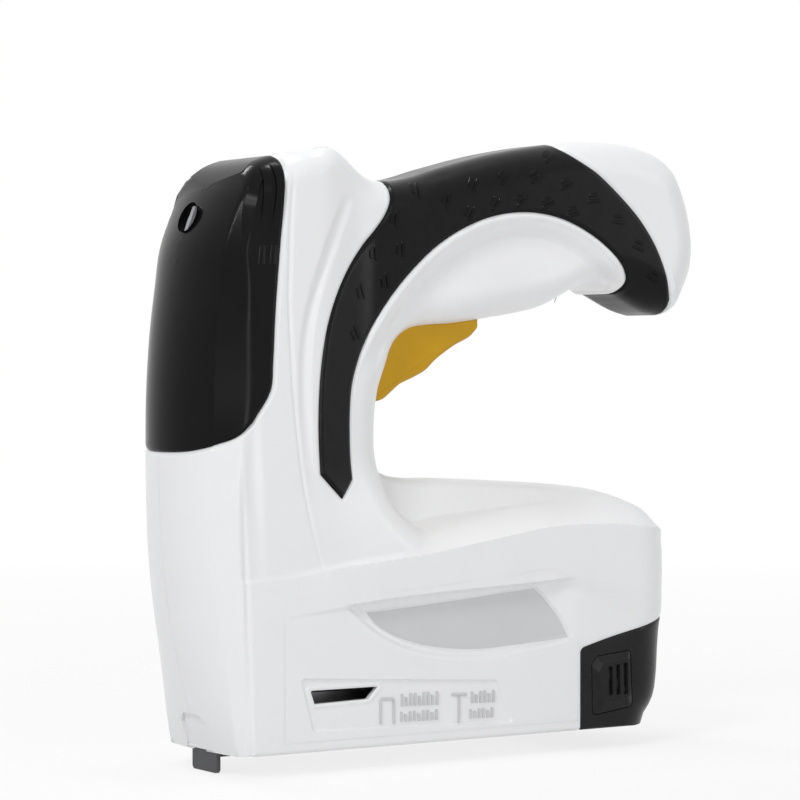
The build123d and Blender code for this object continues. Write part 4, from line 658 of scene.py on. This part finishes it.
def skin_piece(name, field, relief, sides, depth, material, body, replaced, surface=None):
    """The part of the skin, or of a given surface, where field is positive, on one or both sides, raised by
    relief along its normals."""
    faces, pairs, share = clip_grid(field)
    surface = surface or (skin, outward)

    def values(grid):
        """The grid's vectors at its points and at the new corners."""
        flat = grid.reshape(-1, 3)
        return np.vstack([flat, flat[pairs[:, 0]] * (1 - share) + flat[pairs[:, 1]] * share])

    used = np.unique(np.concatenate([rows.ravel() for rows in faces]))
    renumber = np.zeros(used.max() + 1, int)
    renumber[used] = np.arange(len(used))
    faces = [renumber[rows] for rows in faces]
    base, normals = values(surface[0])[used], values(surface[1])[used]
    normals /= np.maximum(np.linalg.norm(normals, axis=1, keepdims=True), 1e-9)
    raised = base + normals * relief(base[:, 0], base[:, 2])[:, None]
    shut = len(sides) == 2
    if shut:
        raised[:, 1] = np.where(base[:, 1] <= seam + 1e-6, 0.0, raised[:, 1])
    raised, faces = wall_in(faces, raised, normals, depth, shut)
    points, every = [], []
    for side in sides:
        every += [(rows if side > 0 else rows[:, ::-1]) + sum(len(p) for p in points) for rows in faces]
        points.append(raised * (1.0, side, 1.0))
    return new_mesh(name, np.vstack(points), every, material, body, replaced)


def skin_at(x, z):
    """Points and normals (-dy/dx, 1, -dy/dz) of the skin at side view points."""
    step = 0.08
    y = half_width(x, z)
    normal = np.stack([half_width(x - step, z) - half_width(x + step, z), np.full(x.shape, 2 * step),
                       half_width(x, z - step) - half_width(x, z + step)], -1)
    normal /= np.linalg.norm(normal, axis=-1, keepdims=True)
    return np.stack([x, y, z], -1), normal


def on_skin(x, z, lift):
    """Points of the skin at side view points, lifted along its normal."""
    points, normal = skin_at(x, z)
    return points + normal * lift[..., None]


def fine_patch(low, high, step, lines):
    """A patch of the skin on a square grid of its own, between two corners of the side view."""
    x = np.arange(high[0], low[0], -step)
    z = np.arange(high[1], low[1], -step)
    side_view = draw_to_lines(np.stack(np.meshgrid(x, z, indexing="ij"), -1), lines)
    return skin_at(side_view[..., 0], side_view[..., 1])


def slab_piece(name, ring, half, edge, material, body, replaced):
    """A side view ring, run anticlockwise, made a slab 2 half wide. Its edges are rounded to the radius
    edge: at the angle a the ring is drawn in by edge (1 - sin a) and stands half - edge (1 - cos a) from the
    middle."""
    run = np.roll(ring, -1, axis=0) - np.roll(ring, 1, axis=0)
    inward = np.column_stack([-run[:, 1], run[:, 0]]) / np.linalg.norm(run, axis=1, keepdims=True)
    angle = np.linspace(0.0, math.pi / 2, 6)
    drawn = np.concatenate([edge * (1 - np.sin(angle)), edge * (1 - np.sin(angle[::-1]))])
    y = np.concatenate([-half + edge * (1 - np.cos(angle)), half - edge * (1 - np.cos(angle[::-1]))])
    flat = ring[None] + inward[None] * drawn[:, None, None]
    grid = np.stack([flat[..., 0], np.repeat(y[:, None], len(ring), 1), flat[..., 1]], -1)
    number = np.arange(grid.shape[0] * grid.shape[1]).reshape(grid.shape[:2])
    number = np.hstack([number, number[:, :1]])
    sides = np.stack([number[1:, :-1], number[1:, 1:], number[:-1, 1:], number[:-1, :-1]], -1).reshape(-1, 4)
    caps = [number[:1, :-1], number[-1:, -2::-1]]
    return new_mesh(name, grid.reshape(-1, 3), [sides, *caps], material, body, replaced)


def strokes(name, paths, half, height, ground, sides, material, body, fade=0.0):
    """Raised bars along paths in the side view, draped over the skin: across each path the height climbs
    from below the ground to a flat top and back, and both ends are closed the same way. Over its last share
    fade, a bar sinks back into the ground."""
    across = np.array([-half - 0.25, -half, half, half + 0.25])
    rise = np.array([0.0, 1.0, 1.0, 0.0])
    points, faces = [], []
    for path in paths:
        path = np.asarray(path, float)
        run = np.gradient(path, axis=0)
        run /= np.linalg.norm(run, axis=1, keepdims=True)
        path = np.vstack([path[:1] - run[:1] * 0.25, path, path[-1:] + run[-1:] * 0.25])
        run = np.vstack([run[:1], run, run[-1:]])
        x = path[:, :1] - run[:, 1:] * across
        z = path[:, 1:] + run[:, :1] * across
        up = np.ones(len(path))
        up[[0, -1]] = 0.0
        low = 1.0 - np.linspace(0.0, 1.0, len(path))
        top = height * (ease(0.0, fade, low) if fade else np.ones(len(path)))
        lift = np.where(up[:, None] * rise > 0.5, top[:, None], -0.15) + ground
        grid = on_skin(x, z, lift)
        for side in sides:
            rows = corner_numbers(x.shape) + sum(len(p) for p in points)
            faces.append(rows if side < 0 else rows[:, ::-1])
            points.append(grid.reshape(-1, 3) * (1.0, side, 1.0))
    return new_mesh(name, np.vstack(points), faces, material, body, [])


def turned_piece(name, profile, origin, axis, material, body):
    """A profile of radius and height, turned about an axis."""
    axis = np.asarray(axis, float)
    first = np.cross(axis, (0.0, 1.0, 0.0) if abs(axis[1]) < 0.9 else (0.0, 0.0, 1.0))
    first /= np.linalg.norm(first)
    second = np.cross(axis, first)
    angle = np.linspace(0.0, 2 * math.pi, 49)[:, None]
    profile = np.asarray(profile, float)
    ring = np.cos(angle)[..., None] * first + np.sin(angle)[..., None] * second
    grid = np.asarray(origin) + ring * profile[None, :, :1] + axis * profile[None, :, 1:]
    return new_mesh(name, grid.reshape(-1, 3), [corner_numbers(grid.shape[:2])], material, body, [])


# ---------------------------------------------------------------- finishes

def add_node(tree, kind, inputs, **settings):
    """A new shader node. For each of its sockets, inputs gives a value or the output that it is linked
    to."""
    node = tree.nodes.new("ShaderNode" + kind)
    for key, value in settings.items():
        setattr(node, key, value)
    for key, value in inputs.items():
        if isinstance(value, bpy.types.NodeSocket):
            tree.links.new(value, node.inputs[key])
        else:
            node.inputs[key].default_value = value
    return node


def finish(name, colour, rough, metal=0.0, tone=0.06, grain=900.0, bump=0.02, rough_spread=0.06,
           streaks=None, shine=0.5):
    """A moulded or metal finish. Fine noise of the given grain, in cycles a metre, dents the surface by bump
    millimetres; slower noise moves the colour by the share tone and the roughness by rough_spread. Streaks
    stretch both along an axis, as brushing does."""
    material = bpy.data.materials.new(name)
    material.use_nodes = True
    tree = material.node_tree
    shader = tree.nodes["Principled BSDF"]
    place = tree.nodes.new("ShaderNodeTexCoord").outputs["Object"]
    if streaks:
        place = add_node(tree, "Mapping", {"Vector": place, "Scale": streaks}).outputs["Vector"]
    slow = add_node(tree, "TexNoise", {"Vector": place, "Scale": grain / 14.0, "Detail": 3.0}).outputs["Fac"]
    middle = (0.3, 0.7)         # the noise's own range, spread over the whole range of colour and roughness
    ramp = add_node(tree, "ValToRGB", {"Fac": slow})
    for stop, place_on_ramp, share in zip(ramp.color_ramp.elements, middle, (1.0 - tone, 1.0 + tone)):
        stop.position = place_on_ramp
        stop.color = (*[min(c * share, 1.0) for c in colour], 1.0)
    tree.links.new(ramp.outputs["Color"], shader.inputs["Base Color"])
    roughness = add_node(tree, "MapRange", {"Value": slow, "From Min": middle[0], "From Max": middle[1],
                                            "To Min": rough - rough_spread, "To Max": rough + rough_spread})
    tree.links.new(roughness.outputs["Result"], shader.inputs["Roughness"])
    if bump:
        fine = add_node(tree, "TexNoise", {"Vector": place, "Scale": grain, "Detail": 2.0}).outputs["Fac"]
        dent = add_node(tree, "Bump", {"Height": fine, "Distance": bump * MM, "Strength": 1.0})
        tree.links.new(dent.outputs["Normal"], shader.inputs["Normal"])
    shader.inputs["Metallic"].default_value = metal
    shader.inputs["Specular IOR Level"].default_value = shine
    return material


shell_white = finish("shell_white", (0.85, 0.855, 0.865), 0.32, tone=0.006, grain=1400.0, bump=0.004,
                     rough_spread=0.03)
plate_grey = finish("plate_grey", (0.62, 0.625, 0.635), 0.34, tone=0.01, grain=1400.0, bump=0.0,
                    rough_spread=0.02)
# Painted shade: the label marks are coloured darker than the white shell to stand in for the shading along
# raised lettering.
mark_painted_shade = finish("mark_painted_shade", (0.60, 0.605, 0.615), 0.40, tone=0.01, grain=1400.0, bump=0.0,
                   rough_spread=0.02)
cap_gloss = finish("cap_gloss", (0.004, 0.004, 0.004), 0.23, tone=0.1, grain=1500.0, bump=0.002,
                   rough_spread=0.02, shine=0.11)
grip_soft = finish("grip_soft", (0.004, 0.004, 0.004), 0.24, tone=0.15, grain=3200.0, bump=0.006,
                   rough_spread=0.03, shine=0.14)
black_grain = finish("black_grain", (0.012, 0.012, 0.0125), 0.28, tone=0.1, grain=2600.0, bump=0.008,
                     rough_spread=0.03, shine=0.15)
trigger_paint = finish("trigger_ochre", (0.57, 0.315, 0.007), 0.46, tone=0.03, grain=2200.0, bump=0.012,
                       shine=0.25)
dial_satin = finish("dial_satin", (0.32, 0.32, 0.33), 0.35, tone=0.05, grain=2000.0, bump=0.01)

along_x, along_z, along_wire = (8.0, 90.0, 90.0), (90.0, 90.0, 8.0), (40.0, 4.0, 4.0)
cad_finishes = [                # a finish, and the CAD nodes that have it
    (finish("zinc_sheet", (0.42, 0.42, 0.43), 0.36, 1.0, 0.12, 20.0, 0.01, 0.08, streaks=along_x),
     "magazine_track magazine_drawer staple_rail left_plate motor_plate outer_plate bumper_bracket "
     "spring_seat"),
    (finish("black_steel", (0.075, 0.076, 0.08), 0.38, 0.85, 0.2, 20.0, 0.012, 0.08, streaks=along_z),
     "driver_blade hammer contact_tip nose_guide"),
    (finish("ground_steel", (0.55, 0.55, 0.57), 0.25, 1.0, 0.08, 22.0, 0.006, 0.06, streaks=along_z),
     "guide_rods gear_pins plate_spacers pusher_rod trigger_pin"),
    (finish("spring_wire", (0.26, 0.26, 0.27), 0.33, 1.0, 0.15, 2500.0, 0.01),
     "hammer_spring tip_spring trigger_spring pusher_spring latch_spring"),
    (finish("black_oxide", (0.045, 0.045, 0.048), 0.40, 0.9, 0.2, 2600.0, 0.01),
     "housing_screws mechanism_screws motor_screws"),
    (finish("galvanised_wire", (0.62, 0.62, 0.63), 0.34, 1.0, 0.1, 60.0, 0.02, 0.08, streaks=along_wire),
     "staple_stick"),
    (finish("sintered_steel", (0.30, 0.29, 0.28), 0.48, 1.0, 0.15, 3500.0, 0.03),
     "lift_gear second_gear motor_pinion"),
    (finish("nylon", (0.72, 0.70, 0.62), 0.5, 0.0, 0.03, 2200.0, 0.01), "first_gear"),
    (finish("plated_can", (0.42, 0.42, 0.42), 0.33, 1.0, 0.08, 20.0, 0.008, 0.06, streaks=along_x), "motor"),
    (finish("dense_rubber", (0.03, 0.03, 0.03), 0.7, 0.0, 0.2, 1800.0, 0.04), "bumper"),
    (finish("switch_black", (0.022, 0.022, 0.022), 0.5, 0.0, 0.15, 2400.0, 0.02),
     "trigger_switch tip_sensor power_regulator tact_switch board_components pusher"),
    (finish("plunger_red", (0.42, 0.02, 0.015), 0.45, 0.0, 0.05, 2400.0, 0.01), "switch_plunger"),
    (finish("cell_sleeve", (0.015, 0.13, 0.33), 0.3, 0.0, 0.05, 900.0, 0.02), "battery_cell"),
    (finish("nickel", (0.60, 0.57, 0.50), 0.28, 1.0, 0.06, 20.0, 0.005, 0.05, streaks=along_x),
     "battery_tabs usb_socket"),
    (finish("solder_mask", (0.008, 0.085, 0.03), 0.3, 0.0, 0.15, 1200.0, 0.02), "control_board"),
    (black_grain, "power_button magazine_button_left magazine_button_right"),
    (trigger_paint, "trigger"),
    (dial_satin, "power_dial"),
]
for material, named in cad_finishes:
    for node in named.split():
        nodes[node].data.materials.clear()
        nodes[node].data.materials.append(material)


# ---------------------------------------------------------------- shells, cap, grips and end cap

dial_place = np.array([-8.6, 0.0, 149.6])
dial_axis = np.array([-math.cos(math.radians(22.0)), 0.0, math.sin(math.radians(22.0))])
dial_hole = 4.4                 # radius of the hole over the dial
screw_spots = [(24.0, 157.0), (58.0, 150.5), (150.0, 141.0), (56.0, 58.0), (112.0, 62.0), (17.0, 34.0),
               (84.0, 28.0)]
screw_well = 2.7                # radius of the wells that lead down to the housing screws
well_foot = 8.0                 # half width at which the wells end

beyond = 400.0                  # further than the tool reaches on any side
off_side = -9.0                 # a field's value where its ring doesn't apply

skin, outward = lay_out_skin()
skin_x, skin_y, skin_z = skin[..., 0], skin[..., 1], skin[..., 2]


def way(half, low, high):
    """Positive inside an opening through the skin on the middle plane, half wide, between two side view
    corners."""
    return np.minimum.reduce([half - skin_y, skin_x - low[0], high[0] - skin_x, skin_z - low[1],
                              high[1] - skin_z])


def off_wells(x, z):
    """Distance from the nearest screw well, negative inside it."""
    return np.minimum.reduce([np.hypot(x - spot[0], z - spot[1]) for spot in screw_spots]) - screw_well


from_dial = skin - dial_place
off_dial = np.linalg.norm(from_dial - (from_dial @ dial_axis)[..., None] * dial_axis, axis=-1)
off_dial = np.where(skin_x > 0.0, beyond, off_dial)
in_cap = depth_in(skin_x, skin_z, cap_ring, beyond)
in_grip = depth_in(skin_x, skin_z, grip_ring, beyond)
in_end_cap = depth_in(skin_x, skin_z, end_cap_ring, beyond)
in_pad = np.where(skin_y > 14.0, depth_in(skin_x, skin_z, pad_foot, beyond), off_side)
recess_half, recess_top, recess_depth = 6.9, 10.4, 0.9    # the shallow recess at the foot of the nose
recess_corner = (recess_half + recess_top - 2.4 - skin_y - skin_z) / 1.4
notch = np.minimum.reduce([recess_half - skin_y, recess_top - skin_z, recess_corner, skin_z - 1.0,
                           3.0 - skin_x])
magazine_way = way(8.4, (-beyond, -beyond), (140.0, 0.5))
trigger_way = way(8.4, (42.0, 95.0), (92.0, 125.0))
button_way = way(6.2, (131.0, 60.0), (138.0, 80.0))
port_way = way(5.4, (146.0, 47.0), (beyond, 51.7))
in_base_side = np.where(skin_y > 12.0, depth_in(skin_x, skin_z, base_side_ring, beyond), off_side)
openings = [in_cap, in_grip, in_end_cap, in_base_side, notch, magazine_way, trigger_way, button_way,
            port_way]
white = -np.maximum.reduce(openings)
wells = off_wells(skin_x, skin_z)

fine_lines = [(ring, True) for ring in (window_ring, panel_ring, plate_ring)]
foot_run = np.linspace(8.0, 112.0, 200)
for drop in (0.0, 0.9):
    fine_lines.append((np.column_stack([foot_run, level(band_foot, foot_run) - drop]), False))
base_patch = fine_patch((8.4, 2.4), (110.6, 49.0), 0.3, fine_lines)
base_x, base_z = base_patch[0][..., 0], base_patch[0][..., 2]
base_white = np.minimum(depth_in(base_x, base_z, base_side_ring, beyond) + 0.04,
                        -depth_in(base_x, base_z, window_ring))
base_plate = np.minimum(depth_in(base_x, base_z, plate_ring, beyond) - 0.7,
                        depth_in(base_x, base_z, base_side_ring, beyond))
base_wells = off_wells(base_x, base_z)
pad_patch = fine_patch((114.4, 3.6), (130.9, 23.6), 0.22,
                       [(ring, True) for ring in (pad_foot, pad_top, *pad_slots)])
pad_field = depth_in(pad_patch[0][..., 0], pad_patch[0][..., 2], pad_foot, beyond) - 0.25
hands = (-1, "left"), (1, "right")
for side, hand in hands:
    fields = [white, base_white, in_grip]
    if hand == "right":
        fields = [np.minimum(field, off) for field, off in zip(fields, (wells, base_wells, wells))]
    housing = [f"housing_{hand}"]
    skin_piece(f"shell_{hand}", fields[0], shell_relief, [side], wall, shell_white, "body", housing)
    skin_piece(f"crescent_plate_{hand}", base_plate, plate_relief, [side], 0.3, plate_grey, "body", housing,
               base_patch)
    skin_piece(f"base_side_{hand}", fields[1], shell_relief, [side], wall, shell_white, "body", housing,
               base_patch)
    skin_piece(f"grip_cover_{hand}", fields[2], grip_relief, [side], 1.2, grip_soft, "body",
               [f"grip_{hand}"])
    skin_piece(f"latch_cover_{hand}", pad_field, pad_relief, [side], wall, black_grain,
               f"latch_button_{hand}", [f"magazine_button_{hand}"], pad_patch)
skin_piece("nose_cover", np.minimum(in_cap, off_dial - dial_hole), cap_relief, [-1, 1], wall, cap_gloss,
           "body", ["nose_cap"])
skin_piece("end_cover", np.minimum(in_end_cap, -in_pad), end_cap_relief, [-1, 1], wall, black_grain,
           "magazine", ["magazine_end_cap"])

# The shallow recess at the foot of the nose: the front's own arch, set back
across, up = np.meshgrid(np.linspace(-recess_half - 0.8, recess_half + 0.8, 41),
                         np.linspace(0.4, recess_top + 0.8, 31))
arch = np.interp(up, front_curve[:, 1], front_curve[:, 2])
circle = ((side_half - arch_side) ** 2 + arch ** 2) / (2 * arch)
front = np.interp(up, front_curve[:, 1], front_curve[:, 0])
back = front + circle - np.sqrt(circle ** 2 - across ** 2) + recess_depth
new_mesh("nose_recess", np.stack([back, across, up], -1).reshape(-1, 3),
         [corner_numbers(across.shape)[:, ::-1]], shell_white, "body", [])

trigger_ring = np.vstack([
    smooth_line([(47.0, 112.0), (46.5, 106.0), (46.4, 100.5), (47.6, 98.0), (51.1, 98.2), (54.2, 100.3),
                 (57.1, 102.5), (62.0, 104.6), (66.4, 106.8), (69.4, 109.4), (76.0, 113.7), (83.2, 117.6),
                 (84.8, 119.6), (84.6, 121.6)], 70),
    [(90.0, 124.0), (91.5, 128.0), (90.0, 131.6), (82.0, 131.6), (79.0, 126.0), (66.0, 122.4),
     (52.0, 119.0)],
])
slab_piece("trigger_cover", trigger_ring, 8.0, 1.6, trigger_paint, "trigger", ["trigger"])
turned_piece("dial_well", [(dial_hole + 0.15, 0.5), (dial_hole, -0.4), (dial_hole, -7.5)], dial_place,
             dial_axis, cap_gloss, "body")

# Marks on the label panel: the outlines of a staple and of a nail, and two rows of plain bars beside each
staple_mark = [(40.9, 6.6), (40.9, 13.6), (45.4, 13.4), (45.4, 6.4)]
nail_head, nail_stem = [(65.4, 13.4), (70.3, 13.1)], [(67.8, 13.0), (67.7, 5.2)]
panel_marks = [straight_line(path, 24) for path in (staple_mark, nail_head, nail_stem)]
bar_rows = (48.2, 9, 11.2, 3.3), (48.0, 9, 6.8, 2.6), (72.4, 6, 10.6, 3.1), (71.9, 6, 6.2, 2.5)
for start, count, foot, height in bar_rows:
    for k in range(count):
        x, share = start + 1.5 * k, 1.0 - 0.3 * (k % 3 == 1)
        panel_marks.append(straight_line([(x, foot - 0.03 * k), (x, foot + height * share)], 5))
# The marks' grey colour is painted shade, standing in for the shading of raised lettering.
for side, hand in hands:
    strokes(f"label_marks_{hand}", panel_marks, 0.3, 0.45, -0.7, [side], mark_painted_shade, "body")
strokes("cap_ribs", [smooth_line(path, 60) for path in cap_ribs], 1.1, 0.55, 0.0, [-1, 1], cap_gloss, "body",
        1.0)

# The grips' marks: pairs of bars, a long and a short one, in staggered rows along the bend of the handle
grip_marks = []
spots = np.array(screw_spots)
for row, radius in enumerate((37.0, 44.0, 51.0, 58.0)):
    for turn in np.arange(2.0 + 6.0 * (row % 2), 215.0, 12.0):
        heading = math.radians(turn)
        middle = np.array([95.0 + radius * math.cos(heading) * 1.04, 113.0 + radius * math.sin(heading)])
        lean = heading + math.radians(35.0)
        over, along = np.array([math.cos(lean), math.sin(lean)]), np.array([-math.sin(lean), math.cos(lean)])
        pair = []
        for shift, reach in ((-0.9, 2.2), (0.9, 1.4)):
            foot = middle + over * shift
            pair.append(straight_line([foot - along * reach, foot + along * reach], 5))
        ends = np.vstack(pair)
        clear_of_wells = np.linalg.norm(ends[:, None] - spots[None], axis=-1).min() > 3.6
        in_rim = depth_in(ends[:, 0], ends[:, 1], grip_ring).min() > 0.9
        in_outline = inside(ends[:, 0], ends[:, 1], outline_ring).all()
        off_edge = nearest(ends[:, 0], ends[:, 1], round_edge[::2])[0].min() > 1.6
        if clear_of_wells and in_rim and in_outline and off_edge:
            grip_marks += pair
for side, hand in hands:
    strokes(f"grip_marks_{hand}", grip_marks, 0.42, 0.3, 0.15, [side], cap_gloss, "body")

# Wells that lead down to the housing screws, seen from the right
for number, (x, z) in enumerate(screw_spots, 1):
    top = float(half_width(np.array([x]), np.array([z]))[0])
    in_grips = number in (2, 3) and depth_in(np.array([x]), np.array([z]), grip_ring)[0] > 0
    turned_piece(f"screw_well_{number}", [(screw_well, top - 0.8), (screw_well, well_foot)], (x, 0.0, z),
                 (0.0, 1.0, 0.0), grip_soft if in_grips else shell_white, "body")


# ---------------------------------------------------------------- floor, light and camera

def seen_directly(tree):
    """1 for the rays that show the background: from the camera, off a glossy surface or through a clear
    one."""
    rays = tree.nodes.new("ShaderNodeLightPath").outputs
    value = rays["Is Camera Ray"]
    for ray in ("Is Glossy Ray", "Is Transmission Ray"):
        value = add_node(tree, "Math", {0: value, 1: rays[ray]}, operation="MAXIMUM").outputs[0]
    return value


def stage_plane(name, reach, level_z, grey, white_share):
    """A pale matt surface, seen whiter the further it is from the object, so that it keeps a soft shadow and
    no edge shows where it meets the background."""
    corners = [(-reach, -reach, level_z), (reach, -reach, level_z), (reach, reach, level_z),
               (-reach, reach, level_z)]
    mesh = bpy.data.meshes.new(name)
    mesh.from_pydata(corners, [], [(0, 1, 2, 3)])
    plane = bpy.data.objects.new(name, mesh)
    bpy.context.scene.collection.objects.link(plane)
    material = bpy.data.materials.new(name)
    material.use_nodes = True
    tree = material.node_tree
    tree.nodes.clear()
    place = tree.nodes.new("ShaderNodeTexCoord").outputs["Object"]
    away = add_node(tree, "VectorMath", {0: place}, operation="LENGTH").outputs["Value"]
    whiter = add_node(tree, "MapRange", {"Value": away, "From Min": 0.15, "From Max": 0.9,
                                         "To Min": white_share, "To Max": 1.0}).outputs["Result"]
    share = add_node(tree, "Math", {0: seen_directly(tree), 1: whiter}, operation="MULTIPLY").outputs[0]
    matt = add_node(tree, "BsdfDiffuse", {"Color": (grey, grey, grey, 1.0)}).outputs[0]
    glow = add_node(tree, "Emission", {"Color": white_light}).outputs[0]
    mix = add_node(tree, "MixShader", {"Fac": share, 1: matt, 2: glow}).outputs[0]
    add_node(tree, "OutputMaterial", {"Surface": mix})
    mesh.materials.append(material)


white_light = (1.0, 1.0, 1.0, 1.0)
stage_plane("floor", 6.0, cad_low[2] - 0.0002, 0.85, 0.8)

world = bpy.data.worlds.new("studio")
bpy.context.scene.world = world
world.use_nodes = True
tree = world.node_tree
room = tree.nodes["Background"]
room.inputs["Color"].default_value = white_light
room.inputs["Strength"].default_value = 0.40
seen_room = add_node(tree, "Background", {"Color": white_light, "Strength": 1.0})
mix = add_node(tree, "MixShader", {"Fac": seen_directly(tree), 1: room.outputs[0], 2: seen_room.outputs[0]})
tree.links.new(mix.outputs[0], tree.nodes["World Output"].inputs["Surface"])


def soft_light(name, place, target, size, power):
    """A rectangular area lamp turned towards a point."""
    lamp = bpy.data.lights.new(name, "AREA")
    lamp.shape = "RECTANGLE"
    lamp.size, lamp.size_y = size
    lamp.energy = power
    holder = bpy.data.objects.new(name, lamp)
    bpy.context.scene.collection.objects.link(holder)
    holder.location = place
    turn = Vector(target) - Vector(place)
    holder.rotation_euler = turn.to_track_quat("-Z", "Y").to_euler()


centre = (0.062, 0.0, 0.098)
soft_light("key", (-0.75, -0.45, 0.85), centre, (0.3, 0.3), 5.2)
soft_light("front strip", (0.02, -1.1, 0.2), centre, (0.14, 1.0), 2.2)
soft_light("side", (0.85, -0.7, 0.35), centre, (0.2, 0.5), 0.9)
soft_light("top", (0.15, 0.0, 1.1), centre, (0.16, 0.16), 2.0)
soft_light("rim", (-0.15, 0.7, 1.0), centre, (0.2, 0.2), 2.4)

yaw, pitch, reach = math.radians(33.0), math.radians(0.8), 0.880
forward = Vector((math.sin(yaw) * math.cos(pitch), math.cos(yaw) * math.cos(pitch), -math.sin(pitch)))
camera = bpy.data.cameras.new("camera")
camera.lens, camera.sensor_width, camera.clip_start = 135.0, 36.0, 0.01
viewer = bpy.data.objects.new("camera", camera)
bpy.context.scene.collection.objects.link(viewer)
viewer.location = Vector(centre) - reach * forward
viewer.rotation_euler = forward.to_track_quat("-Z", "Y").to_euler()
bpy.context.scene.camera = viewer
bpy.context.scene.view_settings.view_transform = "Standard"
